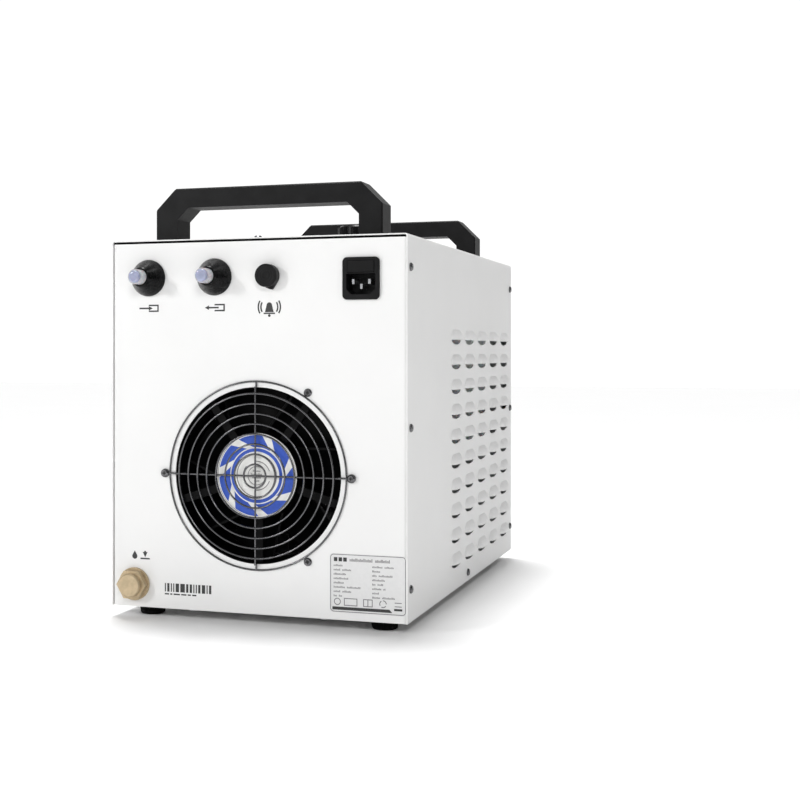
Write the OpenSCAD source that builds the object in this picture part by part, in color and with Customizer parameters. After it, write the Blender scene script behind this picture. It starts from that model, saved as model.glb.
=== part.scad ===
// Industrial water chiller: a passive tank, pump, radiator and fan in a sheet-metal case.
// The fan side is the rear and faces -Y. Z is up and the floor is at z = 0.

/* [Case] */
// Width of the case over the cover's side sheets
case_w = 270; // [250:1:320]
// Height of the case from its underside to the top sheet
case_h = 322; // [316:1:380]
// Depth of the case from the rear edge to the front edge of the cover
case_d = 460; // [452:1:520]
// Thickness of the cover, rear and front sheets
sheet_t = 1; // [0.8:0.1:1.5]
// Outer bend radius of the cover's top edges
cover_bend = 2; // [1.8:0.1:4]
// Outer bend radius of the rear and front panels' side folds
panel_bend = 2.5; // [1.8:0.1:4]
// How far the rear and front panels sit inside the cover's ends
panel_inset = 0.8; // [0.3:0.1:2]
// Depth of the folded edges of the rear and front panels
panel_flange = 18; // [15:0.5:22]
// Gap between the cover's top sheet and the panels' top folds
top_gap = 2; // [1:0.25:4]
// Gap between the cover's sides and the panels and tray inside them
cover_gap = 0.2; // [0.1:0.05:0.4]
// Thickness of the base tray
tray_t = 1.2; // [1:0.1:2]
// Height of the base tray's side flanges
tray_flange = 15; // [12:0.5:25]

/* [Louvres] */
// Columns of louvres on each side
louvre_cols = 5; // [1:1:5]
// Length of one louvre
louvre_len = 42; // [30:1:50]
// Height of one louvre's hood
louvre_h = 9.5; // [8:0.5:14]
// How far a louvre's lip stands out of the side sheet
louvre_out = 4; // [3:0.25:5.5]
// Distance between louvre columns
louvre_step_y = 59; // [52:1:62]
// Distance between louvre rows
louvre_step_z = 23.4; // [18:0.2:24]
// Distance from the front edge of the cover to the middle of the last column
louvre_from_front = 43.6; // [38:0.2:60]
// Distance from the top of the case down to the lip of the highest row
louvre_top_drop = 86.4; // [60:0.2:95]
// Least distance from the case's underside up to the lip of the lowest row
louvre_low_gap = 24; // [16:0.5:60]

/* [Handles] */
// Length of a handle across the case
handle_w = 211; // [180:1:230]
// Height of a handle above the cover
handle_h = 48; // [42:1:70]
// Front to back depth of a handle
handle_d = 28; // [20:1:36]
// Width of a handle's legs
handle_leg = 21; // [16:0.5:28]
// Thickness of a handle's grip bar
handle_bar = 17.4; // [12:0.2:22]
// Size of the bevels at a handle's outer top corners
handle_outer_bevel = 19.5; // [10:0.5:24]
// Size of the bevels at a handle's inner top corners
handle_inner_bevel = 10.5; // [5:0.5:14]
// Width of the small bevels along a handle's outer edges
handle_edge = 1.2; // [0.6:0.1:2.5]
// Distance from the case's ends to the middle of a handle
handle_from_end = 42.7; // [34:0.1:60]
// Thread diameter of the screws that hold the handles
handle_screw_d = 5; // [4:0.5:6]

/* [Feet and screws] */
// Height of the case's underside above the floor
foot_h = 10; // [8:0.5:16]
// Diameter of a foot at its top
foot_top_d = 25; // [20:0.5:30]
// Diameter of a foot at the floor
foot_low_d = 22; // [18:0.5:26]
// Radius of a foot's rounded lower edge
foot_round = 2; // [1:0.25:3]
// Distance from the case's sides to the middle of a foot
foot_from_side = 27; // [22:0.5:40]
// Distance from the case's ends to the middle of a foot
foot_from_end = 27.5; // [24:0.5:50]
// Thread diameter of the small case screws
screw_d = 4; // [3:0.5:4.5]
// Diameter of a small screw's head
screw_head_d = 7; // [6.5:0.25:9]
// Height of a small screw's head
screw_head_h = 2; // [1.5:0.25:3]
// Length of a small case screw below its head
screw_len = 8; // [6:0.5:12]
// Distance from the case's ends to the cover's side and top screws
cover_screw_inset = 9.5; // [8:0.5:11]
// Distance from the case's top and underside to the side screws
cover_screw_drop = 27.5; // [26:0.5:40]

/* [Fan] */
// Sideways place of the fan's axis
fan_x = 2; // [-4:0.5:4]
// Height of the fan's axis above the case's underside
fan_up = 118.4; // [114:0.2:126]
// Diameter of the round opening in the rear panel
fan_hole_d = 151; // [136:1:156]
// Gap between the fan frame's bore and the edge of the opening
fan_bore_gap = 0.5; // [0.25:0.25:2]
// Front to back depth of the fan
fan_depth = 51; // [50:1:56]
// Thickness of the fan frame's wall
fan_wall = 3; // [2:0.25:4]
// Diameter of the fixed motor hub that carries the round label
hub_d = 74; // [68:1:78]
// Number of blades
blade_count = 7; // [5:1:9]
// Angle of the blades to the fan's plane
blade_angle = 32; // [25:1:36]
// Thickness of a blade
blade_t = 2.2; // [1.6:0.1:3]
// Gap between the blade tips and the bore
tip_gap = 1.5; // [1:0.1:3]
// Diameter of the fan's shaft
fan_shaft_d = 6; // [5:0.5:8]
// Running clearance of both shafts in their bearings, on the radius
running_gap = 0.05; // [0.02:0.01:0.1]
// Angle of the upper and lower fan screws from the horizontal
fan_screw_angle = 57; // [50:1:64]

/* [Guard] */
// Wire diameter of the fan guard
guard_wire = 1.6; // [1.4:0.1:2.4]
// Distance from the opening's edge out to the guard's outer ring
guard_over_hole = 5; // [4:0.25:7]
// Distance from the opening's edge in to the guard's largest inner ring
guard_last_gap = 5.3; // [4:0.1:8]
// Radius of the guard's smallest ring
guard_first_r = 10; // [8:0.5:14]
// Number of inner rings
guard_rings = 8; // [4:1:9]
// How far the inner rings stand out past the outer ring
guard_rise = 4; // [3:0.25:6]

/* [Water ports] */
// Distance from the case's top down to the inlet, outlet and alarm sockets
port_drop = 33.2; // [30:0.2:40]
// Distance from the case's left side to the middle of the water inlet
inlet_from_side = 35.6; // [35.2:0.2:42]
// Distance from the water inlet to the water outlet
outlet_from_inlet = 62.5; // [56:0.5:68]
// Diameter of the domed nuts on the inlet and outlet
nut_d = 32; // [28:0.5:36]
// Straight height of a domed nut before its dome
nut_rim = 5; // [3:0.5:7]
// Height of a domed nut
nut_h = 18.5; // [16:0.5:20]
// Outer diameter of the inlet and outlet barbs outside the case
port_barb_d = 13; // [12:0.25:13.5]
// Bore of the inlet and outlet barbs outside the case
port_bore = 8.5; // [7.5:0.25:9]
// How far the barbs stand out of the rear panel
barb_out = 28; // [27:0.5:34]
// Outer diameter of the hose barbs inside the case
barb_d = 10; // [9:0.5:11]
// Bore of the hose barbs inside the case
barb_bore = 7; // [5:0.5:7.25]
// Thread diameter of the inlet and outlet bodies
port_thread_d = 18; // [16:0.5:20]
// Diameter of the heads of the plugs that close the barbs
plug_d = 10.6; // [10:0.1:11.5]
// How far a plug's head stands out of its barb
plug_tip = 3; // [2:0.25:4]
// Length of a plug inside its barb
plug_shank = 9; // [6:0.5:14]
// Distance from the case's left side to the middle of the drain
drain_from_side = 22; // [20:0.5:25]
// Height of the drain above the case's underside
drain_up = 20; // [18:0.5:22]
// Diameter of the drain's round flange
drain_flange_d = 28.7; // [26:0.1:30]
// Width across the flats of the drain cap
drain_hex = 24; // [22:0.5:25]
// Diameter of the disc at the drain cap's end
drain_disc_d = 20.5; // [18:0.5:22]
// How far the drain cap stands out of the rear panel
drain_out = 13; // [12:0.5:18]

/* [Electrical sockets] */
// Distance from the water outlet to the alarm socket
alarm_from_outlet = 50.4; // [44:0.2:58]
// Diameter of the alarm socket's cap
alarm_cap_d = 20; // [19:0.5:24]
// How far the alarm cap stands out of the rear panel
alarm_out = 10; // [9:0.5:14]
// Diameter of the alarm socket's barrel
alarm_barrel_d = 16; // [15:0.5:16.5]
// Distance from the case's right side to the middle of the mains socket
mains_from_side = 39.7; // [36:0.1:50]
// Distance from the case's top down to the middle of the mains socket
mains_drop = 36.7; // [34:0.1:44]
// Width of the mains socket's flange
mains_w = 32; // [31:0.5:34]
// Height of the mains socket's flange
mains_h = 35.5; // [35:0.5:38]
// Thickness of the mains socket's flange
mains_flange = 2.5; // [1.5:0.25:3.5]
// Width of the recess that takes the mains plug
plug_w = 25; // [24:0.25:25.5]
// Height of the recess that takes the mains plug
plug_h = 17.2; // [16:0.2:17.4]
// Depth of the recess that takes the mains plug
plug_depth = 16.5; // [15:0.5:18]

/* [Filler] */
// Distance from the front edge of the cover back to the filler
filler_from_front = 152; // [120:1:160]
// Outer diameter of the filler cap
filler_cap_d = 44; // [42:0.5:50]
// Height of the filler cap's top above the cover
filler_cap_h = 36; // [30:0.5:42]
// Outer diameter of the tank's neck
neck_d = 32; // [28:0.5:34]
// How far the neck stands out of the cover
neck_up = 20; // [16:0.5:24]
// Grip ribs round the filler cap
filler_ribs = 24; // [12:1:30]

/* [Tank] */
// Gap between the tank and the cover at each side
tank_side_gap = 10.8; // [9:0.2:14]
// Front to back depth of the tank
tank_d = 180; // [170:1:186]
// Height from the pump's volute up to the tank
tank_over_pump = 47.3; // [44:0.1:70]
// Wall of the tank
tank_wall = 3; // [2:0.25:4]
// Gap between the tank's top and the cover
tank_top_gap = 20; // [18:0.5:30]
// Distance from the front edge of the cover to the tank
tank_from_front = 65; // [62:0.5:70]

/* [Radiator] */
// Width of the radiator
core_w = 212; // [211:1:218]
// How far the finned core reaches past the fan's bore, above and below
core_over_fan = 3; // [2:0.5:6]
// Front to back depth of the radiator
core_d = 32; // [28:1:36]
// Water tubes across the core
core_tubes = 9; // [5:1:11]
// Fins along the core
core_fins = 22; // [10:1:26]
// Height of the radiator's upper and lower tanks
header_h = 10; // [8:0.5:11]
// Distance from the case's right side to the radiator's outlet
to_tank_from_side = 36; // [35:0.5:60]
// Depth of the duct between the fan and the radiator
duct_d = 20; // [16:0.5:24]

/* [Pump and hoses] */
// Diameter of the pump's volute
volute_d = 72; // [68:1:78]
// Height of the pump's motor
motor_h = 56; // [50:1:58]
// Diameter of the pump's motor
motor_d = 60; // [56:1:64]
// Diameter of the pump's fixed shaft
pump_shaft_d = 5; // [4:0.5:6]
// Outer diameter of the hoses
hose_d = 16; // [15:0.25:17]
// Radius of the hose bends, on the centre line
hose_bend = 24; // [20:0.5:26]

/* [Front panel] */
// Distance from the case's top down to the display and the switch
display_drop = 62; // [55:1:70]
// Width of the display's bezel
display_w = 72; // [60:1:90]
// Height of the display's bezel
display_h = 40; // [34:1:50]
// How far the display's bezel stands out of the front panel
display_out = 3; // [2:0.25:5]
// Distance from the case's side to the middle of the power switch
switch_from_side = 55; // [40:1:65]
// Throw of the power rocker each way, in degrees
rocker_throw = 8; // [6:1:9]

/* [Hidden] */
$fn = 48;

// Cutting tools reach past the faces they cut by this much
reach = 1;
// Clearance between pieces that lie one in the other
fit_gap = 0.1;
// Clearance of caps and drawers that come off or slide
slide_gap = 0.2;

// Colours
powder_white = [0.93, 0.93, 0.92];
black_plastic = [0.12, 0.12, 0.12];
rubber_black = [0.07, 0.07, 0.07];
wire_steel = [0.55, 0.56, 0.58];
zinc = [0.72, 0.74, 0.76];
radiator_black = [0.09, 0.09, 0.1];
tank_white = [0.86, 0.88, 0.88];
drain_brass = [0.72, 0.64, 0.5];
plug_blue = [0.66, 0.72, 0.9];
hose_grey = [0.8, 0.85, 0.88];
copper = [0.72, 0.45, 0.25];
board_green = [0.1, 0.4, 0.2];
fuse_glass = [0.85, 0.9, 0.9];

// Frame: the case's rear edge is at y = 0 inside place(), and place() centres the whole
rear_reach = barb_out + plug_tip - panel_inset;
front_reach = display_out - panel_inset;
mid_shift = (rear_reach - case_d - front_reach) / 2;
rear_face = panel_inset;
rear_back = panel_inset + sheet_t;
front_face = case_d - panel_inset;
front_back = front_face - sheet_t;
top_z = foot_h + case_h;
under_top = top_z - sheet_t;

// Tray and panels
inner_w = case_w - 2 * (sheet_t + cover_gap);
panel_h = case_h - sheet_t - top_gap;
tray_z = foot_h + sheet_t;
tray_top = tray_z + tray_t;
tray_end_w = inner_w - 2 * (sheet_t + cover_gap);
emboss_w = 22;
side_screw_y = [cover_screw_inset, case_d - cover_screw_inset];
side_screw_z = [foot_h + cover_screw_drop, foot_h + case_h / 2, top_z - cover_screw_drop];
tray_screw_z = tray_z + tray_flange / 2;
bottom_screw_x = 60;
bottom_screw_inset = 7;
bottom_screw_y = rear_back + bottom_screw_inset;
emboss_start = 4;
emboss_d = panel_flange - emboss_start - 1;

// Louvres
louvre_r = (louvre_h * louvre_h + louvre_out * louvre_out) / (2 * louvre_out);
louvre_half = louvre_len / 2 - louvre_h;
louvre_last_y = case_d - louvre_from_front;
louvre_rows = floor((case_h - louvre_top_drop - louvre_low_gap) / louvre_step_z) + 1;

// Handles
handle_y = [handle_from_end, case_d - handle_from_end];
handle_screw_x = (handle_w - handle_leg) / 2;
handle_screw_len = 14;
handle_head_d = 1.8 * handle_screw_d;
handle_head_h = 0.65 * handle_screw_d;

// Fan, measured along y from the rear
fan_z = foot_h + fan_up;
fan_bore_d = fan_hole_d - 2 * fan_bore_gap;
guard_ring_d = fan_hole_d + 2 * guard_over_hole;
guard_last_r = fan_hole_d / 2 - guard_last_gap;
guard_step = (guard_last_r - guard_first_r) / (guard_rings - 1);
fan_start = rear_back;
fan_end = fan_start + fan_depth;
fan_flange_t = 5;
fan_flange_r = fan_bore_d / 2 + 8;
lug_r = 7;
cup_end = fan_start + 18;
cup_wall = 4;
strut_start = fan_start + 5;
strut_t = 6;
strut_w = 7;
strut_count = 5;
rotor_start = cup_end + 2;
rotor_end = fan_end - 2;
rotor_r = hub_d / 2 - 1;
rotor_wall = 3;
stator_r = rotor_r - rotor_wall - 2;
stator_end = rotor_end - rotor_wall - 6;
stator_start = fan_start + 4;
stator_h = stator_end - stator_start - 2;
stator_poles = 6;
stator_pole_w = 8;
stator_shoe_w = 20;
stator_shoe_t = 4;
stator_core_t = 6;
bearing_r = fan_shaft_d / 2 + 4.5;
bearing_t = 5;
bearing_tube_r = bearing_r + 2.5;
bearing_first = fan_start + 3;
bearing_last = stator_end - 1 - bearing_t;
fan_screw_len = 10;
fan_screw_r = guard_ring_d / 2 + guard_wire / 2 + slide_gap + screw_head_d / 2;
fan_lug_angles = [180, fan_screw_angle, -fan_screw_angle];
fan_screw_angles = concat(fan_lug_angles, [0]);

// Guard, measured outward from the rear panel
guard_ring_out = guard_wire / 2;
guard_inner_out = guard_ring_out + guard_rise;
guard_eye_r = screw_d / 2 + guard_wire / 2 + 0.2;
guard_weld = 0.3;

// Sockets and ports on the rear panel
port_z = top_z - port_drop;
inlet_x = inlet_from_side - case_w / 2;
outlet_x = inlet_x + outlet_from_inlet;
alarm_x = outlet_x + alarm_from_outlet;
mains_x = case_w / 2 - mains_from_side;
drain_x = drain_from_side - case_w / 2;
drain_z = foot_h + drain_up;
mains_z = top_z - mains_drop;
inner_barb = 30;
inner_flange_d = port_thread_d + 10;
inner_flange_t = 5;
// The barb's full diameter starts past the nut and steps in by this much inside it
barb_step = 0.5;
port_thread_out = nut_rim + 2;
drain_thread_d = 16;
drain_thread_end = drain_out - 3;
drain_disc_t = 4.5;
drain_nut_d = 26;
drain_nut_t = 6;
drain_flange_t = 2.5;
alarm_inner_d = alarm_barrel_d - 3;
alarm_barrel_out = alarm_out - 3;
alarm_pin_d = 1.6;
alarm_pin_x = 3.6;
alarm_pin_back = 12;
alarm_flange_t = 1.2;
alarm_flange_d = alarm_barrel_d + 2.5;
alarm_back = 8;
alarm_well = 3;
alarm_nut_d = alarm_barrel_d + 6;
alarm_nut_t = 4;
alarm_tab_t = 3;
alarm_tab_angle = -62;
alarm_edge = 1;
mains_body_w = mains_w - 4.5;
mains_body_h = mains_h - 4.5;
mains_body_d = 26;
plug_mid = -mains_h / 2 + 4.5 + plug_h / 2;
plug_bevel = 4.4;
mains_pin_x = 7;
mains_pin_rise = 2;
mains_pin_w = 2;
mains_pin_h = 4;
drawer_w = 23;
drawer_h = 9.6;
drawer_mid = mains_h / 2 - 3 - drawer_h / 2;
drawer_depth = 20;
drawer_front = 2;
fuse_d = 5.2;
fuse_len = 19;

// Pump's height, which carries on up to the tank
bracket_t = 1.5;
motor_low = tray_top + bracket_t;
motor_top = motor_low + motor_h;
volute_h = 24;
volute_top = motor_top + volute_h;

// Filler and tank
filler_y = case_d - filler_from_front;
tank_end = case_d - tank_from_front;
tank_start = tank_end - tank_d;
tank_mid_y = (tank_start + tank_end) / 2;
tank_w = inner_w - 2 * tank_side_gap;
tank_top = under_top - tank_top_gap;
tank_low = volute_top + tank_over_pump;
tank_h = tank_top - tank_low;
tank_corner = 10;
neck_wall = 3;
neck_top = top_z + neck_up;
collar_t = 2;
collar_d = neck_d + 14;
stub_len = 14;
stand_w = 150;
stand_t = 1.5;
stand_inset = 12;
stand_foot = 12;

// Radiator
duct_start = fan_end;
core_start = duct_start + duct_d;
core_end = core_start + core_d;
core_mid_y = (core_start + core_end) / 2;
core_h = fan_bore_d + 2 * core_over_fan;
core_low = fan_z - core_h / 2;
core_top = fan_z + core_h / 2;
header_top = core_top + header_h;
header_round = 4;
return_x = inlet_x;
to_tank_x = case_w / 2 - to_tank_from_side;
fin_t = 0.6;
tube_t = 2;
to_tank_drop = 40;
to_tank_z = tank_top - to_tank_drop;
duct_foot_w = 150;

// Pump and hoses
hose_bore = barb_d + 2 * fit_gap;
clamp_d = hose_d + 3;
clamp_w = 8;
pump_x = outlet_x + volute_d / 2 - hose_d / 2;
pump_y = tank_mid_y;
volute_wall = 3;
volute_flange_t = 4;
pump_nozzle = 24;
pump_out_z = motor_top + volute_h / 2;
pump_out_y = pump_y - volute_d / 2 - pump_nozzle;
can_r = 15;
can_depth = 30;
can_low = motor_top - can_depth;
shaft_seat = 8;
shaft_top = motor_top + 16;
bracket_margin = 10;
bracket_collar_h = 12;
rotor_gap = 0.4;
impeller_r = volute_d / 2 - volute_wall - 4;
impeller_disc_t = 3;
impeller_hub_r = 6;
impeller_vane_h = 13;
impeller_vane_t = 2;
impeller_vanes = 6;
riser_y = (core_end + tank_start) / 2;
switch_rise = 60;
switch_low = pump_out_z + switch_rise;
switch_body_h = 34;
switch_body_d = 22;
switch_box = [12, 14, switch_body_h - 10];
drain_stub_inset = 30;
drain_y = tank_start + drain_stub_inset;
clamp_screw = [10, 4, clamp_w];

// Front panel
display_z = top_z - display_drop;
display_lip = 5;
display_frame = 8;
display_body_d = 8;
display_window_t = 1;
switch_x = case_w / 2 - switch_from_side;
board_t = 1.6;
standoff_d = 6;
standoff_inset = 5;
standoff_h = 12;
board_w = 90;
board_h = 64;
// Transformer, relay and terminals: place as a share of the board, then width, height, depth
board_blocks = [[-0.28, 26, 22, 14], [0.1, 16, 20, 10], [0.36, 12, 40, 8]];
rocker_w = 15;
rocker_h = 11;
rocker_pivot_r = 1.5;
rocker_depth = 5;
switch_flange_w = 25;
switch_flange_h = 19;
switch_flange_t = 1.6;
switch_body_w = 21.6;
switch_body_hh = 15.4;
switch_body_d_in = 18;
rocker_axis = -2;

// Shared shapes

// Shift along the local z
module up(z) {
    translate([0, 0, z]) children();
}

module place() {
    translate([0, mid_shift, 0]) children();
}

// Local z points out of the rear panel, local x and y are the panel's x and z
module on_rear(x, z) {
    translate([x, rear_face, z]) rotate([90, 0, 0]) children();
}

// Local z points out of the front panel, local y is up
module on_front(x, z) {
    translate([x, front_face, z]) rotate([90, 0, 180]) children();
}

// Local x and y become the case's y and z, local z becomes x
module in_side_plane(x) {
    translate([x, 0, 0]) rotate([90, 0, 90]) children();
}

module round_rect(w, h, r) {
    square([w - 2 * r, h], center = true);
    square([w, h - 2 * r], center = true);
    for (sx = [-1, 1], sy = [-1, 1])
        translate([sx * (w / 2 - r), sy * (h / 2 - r)]) circle(r);
}

// Outline with a flat base at y = 0 and two round top corners
module top_round(w, h, r) {
    translate([-w / 2, 0]) square([w, h - r]);
    translate([-w / 2 + r, 0]) square([w - 2 * r, h]);
    for (sx = [-1, 1])
        translate([sx * (w / 2 - r), h - r]) circle(r);
}

// Pan-head screw: the head's seat is at z = 0, the head above it and the shank below
module pan_screw(d, head_d, head_h, len) {
    difference() {
        union() {
            cylinder(d = head_d, h = head_h / 2);
            up(head_h / 2) cylinder(d1 = head_d, d2 = head_d * 0.72, h = head_h / 2);
        }
        for (turn = [0, 90])
            rotate([0, 0, turn])
                translate([-head_d * 0.26, -head_d * 0.06, head_h * 0.45])
                    cube([head_d * 0.52, head_d * 0.12, head_h]);
    }
    up(-len) cylinder(d = d, h = len);
}

module screw_hole(d, t) {
    up(-t - reach) cylinder(d = d + 2 * fit_gap, h = t + 2 * reach);
}

// Round bar along a path in the local x-y plane, with square turns rounded to bend
module bar_path(points, d, bend) {
    last = len(points) - 1;
    for (i = [0:last - 1]) {
        run = points[i + 1] - points[i];
        dir = run / norm(run);
        head = i == 0 ? 0 : bend;
        tail = i == last - 1 ? 0 : bend;
        start = points[i] + dir * head;
        translate([start[0], start[1], 0])
            rotate([0, 0, atan2(dir[1], dir[0])])
                rotate([0, 90, 0])
                    cylinder(d = d, h = norm(run) - head - tail);
    }
    if (last > 1)
        for (i = [1:last - 1]) {
            dir_in = (points[i] - points[i - 1]) / norm(points[i] - points[i - 1]);
            dir_out = (points[i + 1] - points[i]) / norm(points[i + 1] - points[i]);
            middle = points[i] + (dir_out - dir_in) * bend;
            left_turn = dir_in[0] * dir_out[1] - dir_in[1] * dir_out[0] > 0;
            first = left_turn ? atan2(-dir_out[1], -dir_out[0]) : atan2(dir_in[1], dir_in[0]);
            translate([middle[0], middle[1], 0])
                rotate([0, 0, first])
                    rotate_extrude(angle = 90)
                        translate([bend, 0]) circle(d = d);
        }
}

module hose(points) {
    difference() {
        bar_path(points, hose_d, hose_bend);
        bar_path(points, hose_bore, hose_bend);
    }
}

// Case

module fold_panel() {
    difference() {
        linear_extrude(panel_h)
            translate([0, panel_flange]) mirror([0, 1]) top_round(inner_w, panel_flange, panel_bend);
        up(sheet_t)
            linear_extrude(panel_h - 2 * sheet_t)
                translate([0, panel_flange + reach]) mirror([0, 1])
                    top_round(inner_w - 2 * sheet_t, panel_flange - sheet_t + reach, panel_bend - sheet_t);
    }
    // Raised pad that meets the cover's top sheet under the top screw
    difference() {
        translate([-emboss_w / 2, emboss_start, panel_h - sheet_t / 2])
            cube([emboss_w, emboss_d, top_gap + sheet_t / 2]);
        translate([-emboss_w / 2 + sheet_t, emboss_start + sheet_t, panel_h - sheet_t])
            cube([emboss_w - 2 * sheet_t, emboss_d - 2 * sheet_t, top_gap]);
    }
}

module side_screws_of_panel(y) {
    for (side = [-1, 1], z = side_screw_z)
        translate([side * inner_w / 2, y, z]) rotate([0, side * 90, 0]) children();
}

module base_tray() {
    color(powder_white) place() difference() {
        union() {
            translate([-tray_end_w / 2, rear_back + panel_bend, tray_z])
                cube([tray_end_w, front_back - rear_back - 2 * panel_bend, tray_t]);
            translate([0, front_face - panel_flange - 1, tray_z]) rotate([90, 0, 0])
                linear_extrude(front_face - rear_face - 2 * panel_flange - 2)
                    difference() {
                        translate([0, tray_flange]) mirror([0, 1])
                            top_round(inner_w, tray_flange, cover_bend);
                        translate([0, tray_flange + reach]) mirror([0, 1])
                            top_round(inner_w - 2 * tray_t, tray_flange - tray_t + reach,
                                cover_bend - tray_t);
                    }
        }
        bottom_screw_places() cylinder(d = screw_d + 2 * fit_gap, h = 4 * tray_t, center = true);
        foot_places() cylinder(d = screw_d + 2 * fit_gap, h = 4 * tray_t, center = true);
        for (side = [-1, 1])
            translate([side * inner_w / 2, case_d / 2, tray_screw_z]) rotate([0, side * 90, 0])
                screw_hole(screw_d, tray_t);
    }
}

module bottom_screw_places() {
    for (side = [-1, 1], y = [bottom_screw_y, case_d - bottom_screw_y])
        translate([side * bottom_screw_x, y, tray_z]) children();
}

module foot_places() {
    for (side = [-1, 1], y = [foot_from_end, case_d - foot_from_end])
        translate([side * (case_w / 2 - foot_from_side), y, tray_z]) children();
}

// Round cut-outs that let the feet pass the panels' bottom folds
module foot_notches() {
    foot_places() cylinder(d = foot_top_d + 2 * slide_gap, h = 4 * sheet_t, center = true);
}

module panel_bottom_holes() {
    for (side = [-1, 1])
        translate([side * bottom_screw_x, bottom_screw_y - rear_face, 0])
            cylinder(d = screw_d + 2 * fit_gap, h = 4 * sheet_t, center = true);
}

module panel_top_hole() {
    translate([0, cover_screw_inset - rear_face, panel_h - 2 * sheet_t])
        cylinder(d = screw_d + 2 * fit_gap, h = top_gap + 4 * sheet_t);
}

module rear_panel() {
    color(powder_white) place() difference() {
        translate([0, rear_face, foot_h]) difference() {
            fold_panel();
            panel_bottom_holes();
            panel_top_hole();
        }
        side_screws_of_panel(side_screw_y[0]) screw_hole(screw_d, sheet_t);
        foot_notches();
        on_rear(fan_x, fan_z) {
            screw_hole(fan_hole_d, sheet_t);
            for (a = fan_screw_angles)
                rotate([0, 0, a]) translate([fan_screw_r, 0, 0]) screw_hole(screw_d, sheet_t);
        }
        for (x = [inlet_x, outlet_x])
            on_rear(x, port_z) screw_hole(port_thread_d, sheet_t);
        on_rear(alarm_x, port_z) screw_hole(alarm_barrel_d, sheet_t);
        on_rear(drain_x, drain_z) screw_hole(drain_thread_d, sheet_t);
        on_rear(mains_x, mains_z)
            up(-sheet_t - reach) linear_extrude(sheet_t + 2 * reach)
                square([mains_body_w + 2 * fit_gap, mains_body_h + 2 * fit_gap], center = true);
    }
}

module front_panel() {
    color(powder_white) place() difference() {
        translate([0, front_face, foot_h]) rotate([0, 0, 180]) difference() {
            fold_panel();
            panel_bottom_holes();
            panel_top_hole();
        }
        side_screws_of_panel(side_screw_y[1]) screw_hole(screw_d, sheet_t);
        foot_notches();
        on_front(0, display_z) up(-sheet_t - reach)
            linear_extrude(sheet_t + 2 * reach)
                square([display_w - 2 * display_lip + 2 * fit_gap, display_h - 2 * display_lip + 2 * fit_gap],
                    center = true);
        on_front(switch_x, display_z) up(-sheet_t - reach)
            linear_extrude(sheet_t + 2 * reach)
                square([switch_body_w + 2 * fit_gap, switch_body_hh + 2 * fit_gap], center = true);
    }
}

module louvre_places() {
    for (side = [0, 1], col = [0:louvre_cols - 1], row = [0:louvre_rows - 1])
        mirror([side, 0, 0])
            translate([0, louvre_last_y - col * louvre_step_y,
                       top_z - louvre_top_drop - row * louvre_step_z])
                in_side_plane(case_w / 2) children();
}

// Rounded ridge with ball ends, whose crown is louvre_out above the sheet
module louvre_ridge(r) {
    up(louvre_out - louvre_r) {
        rotate([0, 90, 0]) cylinder(r = r, h = 2 * louvre_half, center = true);
        for (end = [-1, 1])
            translate([end * louvre_half, 0, 0]) rotate([90, 0, 0]) sphere(r);
    }
}

module louvre_hood() {
    intersection() {
        louvre_ridge(louvre_r);
        translate([-louvre_len, 0, -sheet_t / 2])
            cube([2 * louvre_len, 2 * louvre_h, louvre_out + sheet_t]);
    }
}

module louvre_slot() {
    intersection() {
        louvre_ridge(louvre_r - sheet_t);
        translate([-louvre_len, 0, -2 * sheet_t])
            cube([2 * louvre_len, 2 * louvre_h, louvre_out + 2 * sheet_t]);
    }
}

module cover() {
    color(powder_white) place() difference() {
        union() {
            translate([0, case_d, foot_h]) rotate([90, 0, 0]) linear_extrude(case_d) difference() {
                top_round(case_w, case_h, cover_bend);
                translate([0, -reach])
                    top_round(case_w - 2 * sheet_t, case_h - sheet_t + reach, cover_bend - sheet_t);
            }
            louvre_places() louvre_hood();
        }
        louvre_places() louvre_slot();
        for (y = side_screw_y)
            side_screws_of_panel(y) up(sheet_t) screw_hole(screw_d, 2 * sheet_t);
        for (side = [-1, 1])
            translate([side * case_w / 2, case_d / 2, tray_screw_z]) rotate([0, side * 90, 0])
                screw_hole(screw_d, sheet_t);
        for (y = side_screw_y)
            translate([0, y, top_z]) screw_hole(screw_d, sheet_t);
        for (side = [-1, 1], y = handle_y)
            translate([side * handle_screw_x, y, top_z]) screw_hole(handle_screw_d, sheet_t);
        translate([0, filler_y, top_z]) screw_hole(neck_d + 6, sheet_t);
    }
}

// Handles

module handle_outline() {
    half = handle_w / 2;
    inner = half - handle_leg;
    under = handle_h - handle_bar;
    polygon([
        [-half, 0], [-half, handle_h - handle_outer_bevel], [-half + handle_outer_bevel, handle_h],
        [half - handle_outer_bevel, handle_h], [half, handle_h - handle_outer_bevel], [half, 0],
        [inner, 0], [inner, under - handle_inner_bevel], [inner - handle_inner_bevel, under],
        [-inner + handle_inner_bevel, under], [-inner, under - handle_inner_bevel], [-inner, 0]
    ]);
}

// Rectangle with its corners cut off
module cut_corners(w, h, cut) {
    difference() {
        square([w, h], center = true);
        for (x = [-w / 2, w / 2], y = [-h / 2, h / 2])
            translate([x, y]) rotate([0, 0, 45]) square(cut * sqrt(2), center = true);
    }
}

module handle(y) {
    color(black_plastic) place() translate([0, y, top_z]) difference() {
        intersection() {
            translate([0, handle_d / 2, 0]) rotate([90, 0, 0])
                linear_extrude(handle_d) handle_outline();
            linear_extrude(handle_h) cut_corners(handle_w, handle_d, handle_edge);
            in_side_plane(-handle_w / 2)
                linear_extrude(handle_w) cut_corners(handle_d, 2 * handle_h, handle_edge);
        }
        for (side = [-1, 1])
            translate([side * handle_screw_x, 0, -reach])
                cylinder(d = handle_screw_d + 2 * fit_gap, h = handle_screw_len + reach);
    }
}

module rear_handle() {
    handle(handle_y[0]);
}

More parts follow.
